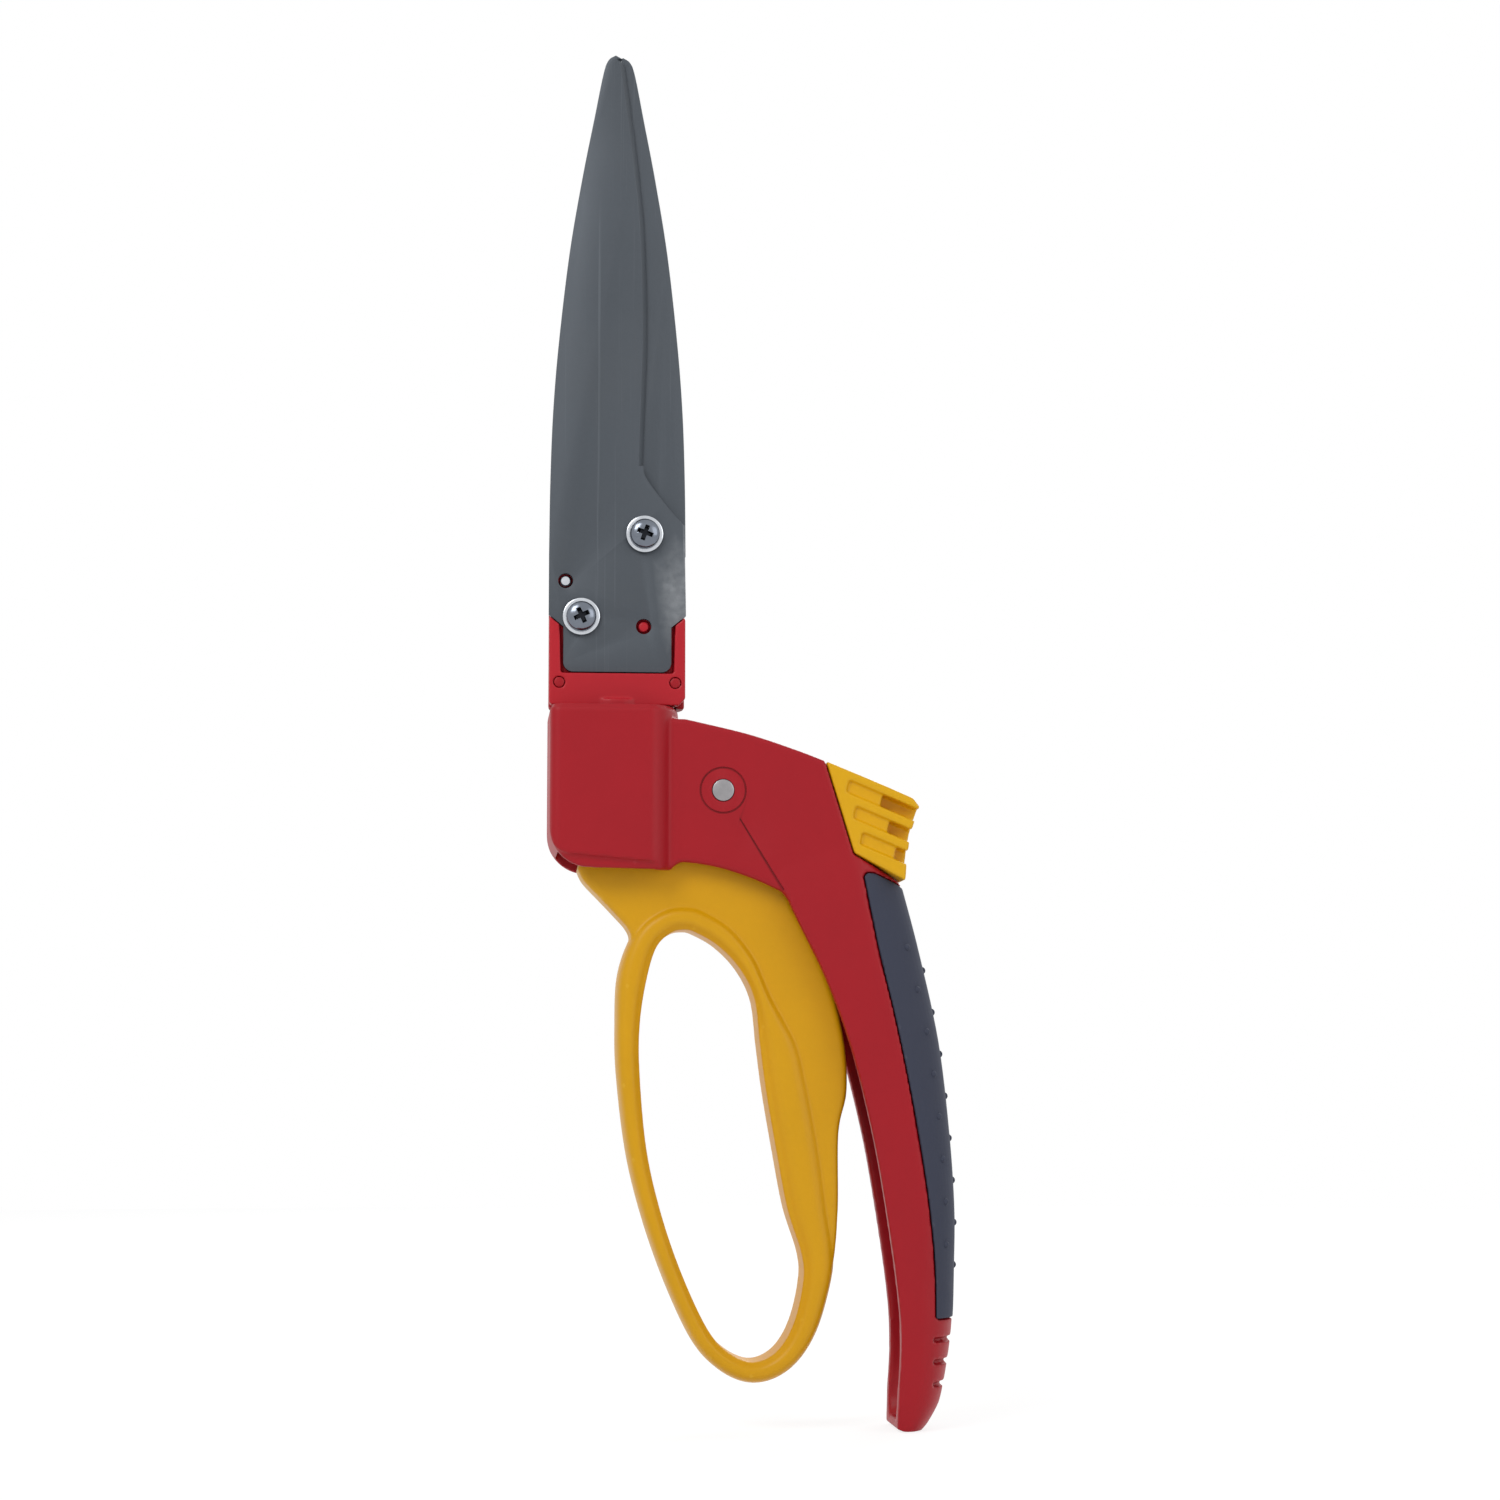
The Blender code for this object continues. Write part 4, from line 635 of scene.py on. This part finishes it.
def makeHeadCover():
    obj = capsule("headCover", cover["radius"], cover["dome"], cover["low"], cover["rim"])
    wall = cover["wall"]
    carve(obj, capsule("coverInside", cover["radius"] - wall, cover["dome"] - wall, cover["low"] - 1, cover["rim"] - 1))
    for side in (-1, 1):
        low, high = sorted((side * 13.2, side * 16.3))
        weld(obj, block("boss", (low, -2.45, 4.7), (high, 3.0, 7.9)),
             rod("peg", cover["pegRadius"], lowerFace - 0.6, 1.0, (side * cover["pegX"], cover["pegZ"])))
    mould(obj, cover["voxel"], 2, 0.5)
    for mark in makeTurnMark():
        carve(obj, mark)
    smoothEdges(obj)
    return fit(obj, "head", redPlastic, "head_cover")


makeHeadCover()
print("head cover ready")


# blade carrier
carrier = {"bedFront": -4.85, "bedBack": -3.05, "inner": 14.95, "barTop": 8.7, "pegHole": 1.5, "voxel": 0.34}


def makeCarrier():
    face = lowerFace - 0.6
    inner = carrier["inner"]
    bedFront, bedBack = carrier["bedFront"], carrier["bedBack"]
    outline = [(-16.6, 0.6), (15.6, 0.6), (17.25, 2.4), (17.25, 23.0), (14.7, 20.95), (14.3, carrier["barTop"]),
               (-14.3, carrier["barTop"]), (-14.7, 20.95), (-17.25, 23.0), (-17.25, 1.2)]
    obj = plate("bladeCarrier", outline, face, bedBack)
    baseLine = arcLine((0, 0), inner, 0, 180, 48) + [(-inner, -3.75), (inner, -3.75)]
    base = column("base", baseLine, 0.6, carrier["barTop"])
    leftLine = [(-3.6, 5.0), (-3.6, 27.6), (-10.95, 27.6), (-10.95, 35.2), (-15.2, 35.2), (-15.2, 5.0)]
    left = plate("leftPlate", leftLine, -3.35, 0.4)
    rightLine = [(3.6, 5.0), (inner, 5.0), (inner, 40.0), (11.0, 47.0), (5.0, 47.9), (3.6, 46.0)]
    right = plate("rightPlate", rightLine, cover["rim"], 0.4)
    weld(obj, block("tangBed", (-16.9, bedFront, 2.6), (16.9, bedBack, 24.0)), base, left, right,
         rod("pivotBoss", 3.6, cover["rim"], 3.0, blade["pivot"]), rod("fixBoss", 4.2, bedFront, 4.0, blade["fixing"]),
         rod("peg", 1.35, lowerFace + 0.5, cover["rim"], blade["peg"]),
         block("pegRoot", (4.05, bedFront, 17.0), (9.25, -1.75, 23.1)), disc("spigot", 8.7, -10.5, 2.1))
    cutters = [disc("pocket", 5.2, -8.5, 8.75), disc("rodBore", 2.85, -20, 60),
               lathe("ringGroove", [(7.4, -8.7), (12, -8.7), (12, -7.4), (7.4, -7.4)]),
               rod("pivotHole", 2.2, -8, 9, blade["pivot"]), rod("fixHole", 2.2, -8, 3.4, blade["fixing"]),
               rod("dowelHole", 1.6, -8, 9, blade["dowel"])]
    for side in (-1, 1):
        low, high = sorted((side * 12.9, side * 18))
        cutters += [rod("pegHole", carrier["pegHole"], -9, 2, (side * cover["pegX"], cover["pegZ"])),
                    block("bossRoom", (low, cover["rim"], 4.4), (high, 3.3, 8.2))]
    carve(obj, *cutters)
    mould(obj, carrier["voxel"], 2, 0.4)
    return fit(obj, "head", carrierPlastic, "blade_carrier")


makeCarrier()
print("carrier ready")


# handle
handle = {"left": -17.1, "half": 16.2, "corner": 2.6, "faceFoot": -37.6, "neckHalf": 12.3, "gripHalf": 13.9,
          "gripLow": -180.6, "taper": 0.16, "slimming": 1.65, "slimShare": 0.22, "roundness": 1.05, "wall": 2.4,
          "pin": (26.5, -21.3), "pinHole": 2.88, "ring": (5.45, 5.95), "ringDeep": 0.35,
          "grooves": (-158.2, -163.7, -169.3), "grooveHalf": 0.7, "grooveDeep": 1.1, "voxel": 0.5}
pad = {"proud": 0.25, "deep": 1.6, "seatDeep": 1.9, "seatGap": 0.3, "voxel": 0.4}
gripFrontLine = [(40.0, -40.0), (43.4, -49.9), (52.2, -68.1), (58.5, -85.2), (63.7, -105.7), (66.9, -123.1),
                 (70.1, -145.4), (71.0, -159.0), (70.3, -172.5)]
gripBackLine = [(69.0, -30.0), (72.6, -43.8), (77.0, -60.7), (82.0, -83.7), (84.7, -106.8), (85.9, -126.0),
                (85.7, -141.3), (85.3, -152.8), (84.3, -161.8), (82.4, -172.0), (80.9, -175.9)]
lockTop, lockFoot, lockBeak, lockHeel = (52.6, -13.7), (59.7, -36.9), (76.3, -25.1), (72.6, -43.8)


def gripRear(low=0.0):
    return bowLine(gripBackLine + [(77.8, handle["gripLow"] - 0.2 + low)], 12)


def gripLoft(name, side=0.0, back=0.0, front=0.0, low=0.0):  # the grip, smaller by these margins
    frontLine = bowLine(gripFrontLine + [(70.0, handle["gripLow"] + low)], 12)
    backLine = gripRear(low)
    count, arcs = 64, 24
    bm = bmesh.new()
    rings = []
    for k in range(count):
        share = k / (count - 1)
        f = Vector(frontLine[round(share * (len(frontLine) - 1))])
        b = Vector(backLine[round(share * (len(backLine) - 1))])
        along = (b - f).normalized()
        f, b = f - along * front, b - along * back
        half = handle["gripHalf"] * (1.0 - handle["taper"] * share * share)
        half = half - handle["slimming"] * max(0.0, 1.0 - share / handle["slimShare"]) - side
        depth = (b - f).length
        flat = max(depth - half * handle["roundness"], depth * 0.35)
        section = [(flat * j / 6, -half) for j in range(6)]
        section += [(flat + (depth - flat) * math.sin(math.pi * j / arcs), -half * math.cos(math.pi * j / arcs))
                    for j in range(arcs + 1)]
        section += [(flat * j / 6, half) for j in range(5, -1, -1)]
        rings.append([bm.verts.new((f.x + along.x * t, y, f.y + along.y * t)) for t, y in section])
    for upper, lower in zip(rings, rings[1:]):
        n = len(upper)
        for k in range(n):
            bm.faces.new((upper[k], upper[(k + 1) % n], lower[(k + 1) % n], lower[k]))
    bm.faces.new(rings[0])
    bm.faces.new(rings[-1])
    return newPiece(bm, name)


def gripCore(name, deep):  # what stays when a layer of this depth is taken off the grip
    return gripLoft(name, side=deep, back=deep, front=20.0, low=-6.0)


def lockRoom():
    slide = (Vector(lockTop) - Vector(lockFoot)).normalized()
    side = Vector((slide.y, -slide.x))
    floor = (Vector(lockHeel) - Vector(lockFoot)).normalized()
    corner = Vector(lockFoot) - side * 0.3 - slide * 0.3
    corners = (corner, corner + slide * 45, corner + slide * 45 + side * 40, corner + floor * 40)
    return plate("lockRoom", [tuple(p) for p in corners], -past, past)


def padLimit(name, grow):  # outline of the soft insert, grown a little for its seat
    line = bowLine([(61.9, -41.2), (65.7, -60.7), (70.2, -79.8), (74.1, -99.1), (77.3, -118.2), (79.2, -133.6),
                    (79.9, -145.0), (80.0, -153.0)], 8)
    line = [(x - grow, z) for x, z in line]
    line[0] = (line[0][0], line[0][1] + grow)
    line[-1] = (line[-1][0], line[-1][1] - grow)
    corner = [(64.8 - grow, -42.0 + grow), (63.0 - grow, -41.9 + grow), (62.2 - grow, -42.8)]
    return plate(name, corner + line[3:] + [(100, -153.0 - grow), (100, -55.5 + grow)], -past, past)


def housingSection(inset):
    half, corner = handle["half"], handle["corner"]
    centre = (handle["left"] + inset + corner, -half + inset + corner)
    line = arcLine(centre, corner, 180, 270, 8)
    line += [(7.5 + (8.3 - inset) * math.sin(math.pi * k / 40), -(half - inset) * math.cos(math.pi * k / 40))
             for k in range(41)]
    return line + arcLine((centre[0], -centre[1]), corner, 90, 180, 8)


def cutUnderside(obj):  # rounds the housing's foot; its two faces end a little above what is between them
    left, skin = handle["left"], handle["half"] - 1.3
    ground = [(30, -41.6), (30, -60), (-25, -60)]
    underFace = [(-25, -28), (left - 2, -30)] + arcLine((left + 5.2, handle["faceFoot"] + 5.2), 5.2, 180, 270, 10)
    underFace += [(8.0, -39.4), (12.0, -41.0)] + ground
    core = [(-25, -28), (left, -28)] + arcLine((left + 10.0, -31.0), 10.0, 180, 265, 12) + [(10.3, -41.4)] + ground
    carve(obj, plate("underFront", underFace, -past, -skin), plate("underBack", underFace, skin, past),
          plate("underCore", core, -past, past))


def makeNeck():
    lowLine = bowLine([(13.0, -41.4), (14.6, -40.2), (17.0, -39.4), (25.5, -40.7), (34.0, -43.4), (41.2, -46.6)], 6)
    outline = bowLine([(17.1, -3.3), (32.7, -6.9), (44.7, -10.75), lockTop], 8)
    outline += [lockFoot, (62.0, -44.0), (52.0, -58.0), (48.0, -57.0), (44.4, -50.9), (42.3, -47.9)]
    outline += list(reversed(lowLine)) + [(10.0, -41.0), (5.0, -38.0), (5.0, -3.3)]
    return plate("neck", outline, -handle["neckHalf"], handle["neckHalf"], 2.3, 5)


def makeHandle():
    half, left = handle["half"], handle["left"]
    obj = column("handleShell", housingSection(0.0), -46.0, -1.0)
    weld(obj, column("topStep", housingSection(0.6), -2.0, 0.0))
    cutUnderside(obj)
    neck = makeNeck()
    endLine = [(-40, 20), (-40, -60), (40, -60), (60, -150), (68.2, -171.0), (68.9, -178.0), (69.9, -180.0),
               (72.2, -180.8), (76.4, -180.6), (79.4, -178.6), (81.6, -174.8), (83.8, -167.0), (90, -120), (100, 20)]
    grip = gripLoft("grip")
    combine(grip, "INTERSECT", [plate("handleEnd", endLine, -30, 30)])
    weld(obj, neck, grip)
    carve(obj, block("housingRoom", (left + handle["wall"], -half + 3.2, -60), (9.0, half - 3.2, -7.0)))
    roomLine = [(17.0, -7.0), (32.0, -10.2), (44.0, -13.9), (50.6, -16.4), (56.5, -34.0), (60, -60), (30, -60),
                (0, -60), (0, -8.0)]
    carve(obj, plate("neckRoom", roomLine, handle["wall"] - handle["neckHalf"], handle["neckHalf"] - handle["wall"]))
    carve(obj, gripLoft("gripRoom", side=3.7, back=4.0, front=9.0, low=2.6))
    carve(obj, disc("spigotBore", 9.05, -8, 1), disc("washerSeat", 10.7, -0.9, 1),
          disc("ballHole", 1.85, -6, 1, (-13.0, 0, 0), 24), lockRoom())
    recess = gripLoft("recess", side=-1.0, back=-1.0)
    combine(recess, "INTERSECT", [padLimit("recessLimit", pad["seatGap"])])
    carve(recess, gripCore("recessCore", pad["seatDeep"]))
    carve(obj, recess)
    for z in handle["grooves"]:
        groove = block("groove", (79.0, -past, z - handle["grooveHalf"]), (92.0, past, z + handle["grooveHalf"]))
        carve(groove, gripCore("grooveCore", handle["grooveDeep"]))
        carve(obj, groove)
    mould(obj, handle["voxel"], 3, 0.4)
    (pinX, pinZ), (inner, outer) = handle["pin"], handle["ring"]
    details = [rod("pinHole", handle["pinHole"], -past, past, handle["pin"], 64)]
    for side in (-1, 1):
        low, high = sorted((side * (handle["neckHalf"] - handle["ringDeep"]), side * past))
        ringLine = [(inner, low), (outer, low), (outer, high), (inner, high)]
        details.append(lathe("pinRing", ringLine, (pinX, 0, pinZ), True, 72))
        details.append(plate("crease", [(30.6, -28.6), (30.9, -28.4), (41.9, -46.2), (41.3, -46.6)], low, high))
    carve(obj, *details)
    smoothEdges(obj)
    return fit(obj, "handle", redPlastic, "handle_body")


dots = {"rows": ((-52, 0.0), (0, 5.45), (52, 0.0)), "count": 8, "top": -60.5, "pitch": 10.6, "radius": 1.0,
        "sunk": 0.32}  # each row: its angle round the grip and how far it starts below the top


def addDots(obj):  # staggered rows of small domes, each seated on the skin of the pad
    backLine = gripRear()
    bpy.context.view_layer.update()
    bm = bmesh.new()
    bm.from_mesh(obj.data)
    for around, lag in dots["rows"]:
        away = Vector((math.cos(math.radians(around)), math.sin(math.radians(around)), 0))
        for k in range(dots["count"]):
            z = dots["top"] - dots["pitch"] * k - lag
            x = next(a[0] + (b[0] - a[0]) * (z - a[1]) / (b[1] - a[1])
                     for a, b in zip(backLine, backLine[1:]) if a[1] >= z >= b[1])
            start = Vector((x - 11.0, 0, z)) + away * 40
            hit, point, normal = obj.ray_cast(start, -away)[:3]
            if hit:
                turn = normal.to_track_quat("Z", "Y").to_matrix().to_4x4()
                bmesh.ops.create_uvsphere(bm, u_segments=16, v_segments=8, radius=dots["radius"],
                                          matrix=Matrix.Translation(point - normal * dots["sunk"]) @ turn)
    bm.to_mesh(obj.data)
    bm.free()
    obj.data.shade_smooth()


def makePad():
    obj = gripLoft("gripPad", side=-pad["proud"], back=-pad["proud"])
    combine(obj, "INTERSECT", [padLimit("padLimit", 0.0)])
    carve(obj, gripCore("padCore", pad["deep"]))
    mould(obj, pad["voxel"], 3, 0.4)
    addDots(obj)
    return fit(obj, "handle", gripRubber, "grip_insert")


makeHandle()
makePad()
print("handle ready")


# thumb lock
lock = {"half": 12.5, "slotHalf": 1.6, "slots": ((57.7, -19.8), (59.4, -26.4), (61.1, -33.0)), "tongueHalf": 5,
        "springHalf": 3.4, "voxel": 0.36}
slotSteps = ((0, 10.5, 1.1), (9.4, 24.0, 4.8))  # from, to and depth, along each rib's slot


def tonguePlate(name, near, far, high, low, half):  # a block in the lock's tongue, square to its slide
    slide = (Vector(lockTop) - Vector(lockFoot)).normalized()
    across = Vector((slide.y, -slide.x))
    corners = [tuple(Vector(lockFoot) + across * (0.6 + out) - slide * down)
               for out, down in ((near, high), (far, high), (far, low), (near, low))]
    return plate(name, corners, -half, half)


def makeLock():
    top = bowLine([lockTop, (65.3, -18.9), (74.6, -22.9)], 8)
    back = bowLine([lockBeak, (74.3, -31.0), (73.2, -37.0), lockHeel], 8)
    obj = plate("lockSlider", top + back + [lockFoot], -lock["half"], lock["half"], 1.3, 4)
    weld(obj, tonguePlate("tongue", 0, 4, -3, 8, lock["tongueHalf"]))
    along = (Vector(top[-1]) - Vector(lockTop)).normalized()
    slotHalf = Vector((along.y, -along.x)) * lock["slotHalf"]
    for first in [Vector(start) for start in lock["slots"]]:
        for front, rear, depth in slotSteps:
            corners = [first + along * front - slotHalf, first + along * rear - slotHalf,
                       first + along * rear + slotHalf, first + along * (front + 0.6) + slotHalf]
            for side in (-1, 1):
                low, high = sorted((side * (lock["half"] - depth), side * past))
                carve(obj, plate("slot", [tuple(c) for c in corners], low, high))
    carve(obj, tonguePlate("springRoom", 5, 2.4, 1.2, 7.2, lock["springHalf"]))
    mould(obj, lock["voxel"], 3, 0.45)
    return fit(obj, "lock", lockPlastic, "thumb_lock")


makeLock()
print("lock ready")


# trigger
trigger = {"plateHalf": 7.4, "webHalf": 6.5, "beadHalf": 9.0, "claw": (0.0, -24.83), "tine": 1.85, "pinBore": 3.15,
           "voxel": 0.42}
# the finger opening, anticlockwise from its top: x, z and how wide the rounded rim is there
openingLine = [(17.3, -56.2, 6.2), (13.9, -56.9, 6.4), (10.1, -60.6, 6.8), (7.6, -69.0, 7.2), (6.0, -80.0, 6.0),
               (6.0, -92.0, 5.6), (7.7, -110.5, 5.0), (11.2, -126.0, 4.7), (16.4, -141.2, 4.6), (23.0, -155.3, 4.7),
               (28.4, -161.2, 5.0), (34.6, -163.6, 5.4), (40.4, -161.0, 5.8), (44.6, -154.2, 6.4),
               (47.0, -144.0, 7.2), (46.6, -137.0, 8.6), (43.1, -126.0, 10.8), (40.4, -112.0, 11.6),
               (37.8, -97.0, 11.4), (36.2, -85.0, 9.8), (34.8, -73.6, 4.4), (31.0, -65.8, 4.8), (25.4, -60.0, 5.8),
               (19.8, -56.8, 6.1)]


def closedBow(points, steps):  # smooth closed line through the points
    n = len(points)
    out = []
    for i in range(n):
        out += bowLine([points[i - 1], points[i], points[(i + 1) % n], points[(i + 2) % n]], steps)[steps:2 * steps]
    return out


def rimBead(name, line, half, sides=28):  # the rounded bar that runs round the finger opening
    bm = bmesh.new()
    rings = []
    n = len(line)
    for i, (x, z, width) in enumerate(line):
        ahead = Vector(line[(i + 1) % n][:2]) - Vector(line[i - 1][:2])
        out = Vector((ahead.y, -ahead.x)).normalized()
        middle = Vector((x, z)) + out * (width / 2)
        ring = []
        for k in range(sides):
            c, s = math.cos(2 * math.pi * k / sides), math.sin(2 * math.pi * k / sides)
            u = width / 2 * math.copysign(abs(c) ** 0.8, c)
            v = half * math.copysign(abs(s) ** 0.5, s)
            ring.append(bm.verts.new((middle.x + out.x * u, v, middle.y + out.y * u)))
        rings.append(ring)
    for i, ring in enumerate(rings):
        other = rings[(i + 1) % n]
        for k in range(sides):
            bm.faces.new((ring[k], ring[(k + 1) % sides], other[(k + 1) % sides], other[k]))
    return newPiece(bm, name)


def makeTrigger():
    front = bowLine([(-9.8, -41.0), (-8.2, -44.0), (-4.6, -47.8), (0.0, -52.6), (2.8, -55.8), (3.7, -58.6),
                     (2.6, -63.0), (1.4, -72.1), (1.5, -87.5), (2.7, -102.8), (5.9, -118.3), (9.8, -133.6),
                     (16.0, -149.0), (23.0, -159.8), (28.2, -165.4), (34.6, -168.0)], 6)
    rear = bowLine([(34.6, -168.0), (41.6, -165.2), (47.0, -160.0), (51.2, -152.4), (54.6, -140.0), (55.9, -126.0),
                    (56.1, -107.0), (58.2, -96.5), (57.6, -84.0), (54.6, -71.0), (50.5, -60.0), (45.0, -50.0)], 6)
    half, web = trigger["plateHalf"], trigger["webHalf"]
    outline = front + rear[1:] + [(43.0, -42.0), (40.0, -34.0), (-3.0, -33.6), (-8.6, -36.4)]
    obj = plate("fingerTrigger", outline, -half, half, 2.2, 5)
    opening = closedBow(openingLine, 6)
    webLine = arcLine(trigger["claw"], 3.3, 100, 250, 12)
    webLine += [(2.0, -31.0), (-6.0, -34.5), (-9.0, -38.8), (-8.6, -43.0), (-4.0, -47.6), (10.0, -52.0),
                (40.0, -60.0), (50.0, -66.0), (51.0, -61.0), (45.0, -49.0), (37.0, -35.0)]
    webLine += arcLine(handle["pin"], 7.0, -20, 95, 16) + [(13.0, -17.0), (6.0, -19.0)]
    weld(obj, plate("web", webLine, -web, web, 0.8, 2))
    carve(obj, plate("opening", [point[:2] for point in opening], -past, past))
    weld(obj, rimBead("bead", opening, trigger["beadHalf"]))
    carve(obj, block("rodSlot", (-20, -4.2, -33.2), (5.4, 4.2, -8)))
    for side in (-1, 1):
        low, high = sorted((side * 2.35, side * 5))
        weld(obj, rod("tine", trigger["tine"], low, high, trigger["claw"]))
    mould(obj, trigger["voxel"], 6, 0.45)
    carve(obj, rod("pinBore", trigger["pinBore"], -past, past, handle["pin"], 64))
    smoothEdges(obj)
    return fit(obj, "trigger", yellowPlastic, "trigger")


triggerPin = {"end": 12.7, "radius": 2.8, "rounding": 0.45, "shoulder": 0.12}


def makeTriggerPin():
    end, radius = triggerPin["end"], triggerPin["radius"]
    rounding, shoulder = triggerPin["rounding"], triggerPin["shoulder"]
    half = [(radius, end - rounding), (radius - shoulder, end - shoulder), (radius - rounding, end), (0, end)]
    profile = [(across, -along) for across, along in reversed(half)] + half
    obj = lathe("triggerPin", profile, (handle["pin"][0], 0, handle["pin"][1]), True, 64)
    return fit(smoothEdges(obj, 30), "handle", pinSteel, "trigger_pin")


makeTrigger()
makeTriggerPin()
print("trigger ready")


# finishes of the pieces kept from the frame
keptFinishes = ((brightZinc, ("pivot_bush", "pivot_nut", "blade_dowel", "push_rod", "drive_pin", "detent_ball")),
                (springSteel, ("swivel_ring", "return_spring", "detent_spring", "lock_spring")),
                # the swivel washer's dark grey is partly painted shade: it shows as the dark shadow line in the seam
                # under the head
                (greyPlastic, ("drive_yoke", "swivel_washer", "pin_spacer_front", "pin_spacer_back")))
for finish, nodes in keptFinishes:
    for node in nodes:
        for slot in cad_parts[node].material_slots:
            slot.material = finish
print("kept pieces finished")


# floor, backdrop and light
studio = {"floorColour": (0.9, 0.9, 0.9), "floorRadius": 1.6, "whiteShare": 0.72, "whiteLevel": 1.15,
          "worldLight": 0.45, "worldSeen": 1.0}
# each softbox: where it stands, the height it points at, its size and its power
softboxes = {"keyLight": ((-0.75, -1.0, 1.1), 0.18, 0.7, 9), "fillLight": ((1.0, -0.9, 0.6), 0.18, 0.8, 3),
             "backLight": ((0.6, 1.2, 1.1), 0.2, 0.8, 8)}


def seenRays(tree):  # 1 for rays that show the stage itself, 0 for the light it gives
    ray = tree.nodes.new("ShaderNodeLightPath")
    direct = mathNode(tree, "MAXIMUM", ray.outputs["Is Camera Ray"], ray.outputs["Is Glossy Ray"])
    return mathNode(tree, "MAXIMUM", direct, ray.outputs["Is Transmission Ray"])


def makeStage():
    bm = bmesh.new()
    bmesh.ops.create_circle(bm, cap_ends=True, radius=studio["floorRadius"], segments=96)
    floor = newPiece(bm, "studioFloor")
    material, tree, shader = blank("paleStage")
    shader.inputs["Base Color"].default_value = (*studio["floorColour"], 1)
    shader.inputs["Roughness"].default_value = 0.9
    shader.inputs["Specular IOR Level"].default_value = 0.0
    glow = addNode(tree, "ShaderNodeEmission", {"Color": (1, 1, 1, 1), "Strength": studio["whiteLevel"]})
    share = mathNode(tree, "MULTIPLY", seenRays(tree), studio["whiteShare"])
    mix = tree.nodes.new("ShaderNodeMixShader")
    tree.links.new(share, mix.inputs[0])
    tree.links.new(shader.outputs[0], mix.inputs[1])
    tree.links.new(glow.outputs[0], mix.inputs[2])
    tree.links.new(mix.outputs[0], tree.nodes["Material Output"].inputs["Surface"])
    floor.data.materials.append(material)


def makeWorld():
    world = bpy.data.worlds.new("studioWorld")
    world.use_nodes = True
    tree = world.node_tree
    backdrop = tree.nodes["Background"]
    backdrop.inputs["Color"].default_value = (1, 1, 1, 1)
    limits = {"To Min": studio["worldLight"], "To Max": studio["worldSeen"]}
    level = addNode(tree, "ShaderNodeMapRange", limits, {"Value": seenRays(tree)})
    tree.links.new(level.outputs[0], backdrop.inputs["Strength"])
    bpy.context.scene.world = world


def placeAimed(name, data, place, target):
    obj = bpy.data.objects.new(name, data)
    bpy.context.scene.collection.objects.link(obj)
    obj.location = place
    obj.rotation_euler = (Vector(target) - Vector(place)).to_track_quat("-Z", "Y").to_euler()
    return obj


def addSoftbox(name, place, aimHeight, size, power):
    data = bpy.data.lights.new(name, "AREA")
    data.shape = "RECTANGLE"
    data.size = size
    data.size_y = size
    data.energy = power
    return placeAimed(name, data, place, (0, 0, aimHeight))


makeStage()
for name, settings in softboxes.items():
    addSoftbox(name, *settings)
makeWorld()
print("stage ready")


# camera
view = {"eye": (-0.072, -0.850, 0.085), "aim": (0.0, 0.0, 0.171), "focal": 80.5, "sensor": 36.0, "near": 0.01}
cameraData = bpy.data.cameras.new("viewCamera")
cameraData.sensor_width = view["sensor"]
cameraData.lens = view["focal"]
cameraData.clip_start = view["near"]
bpy.context.scene.camera = placeAimed("viewCamera", cameraData, view["eye"], view["aim"])
bpy.context.scene.view_settings.view_transform = "Standard"
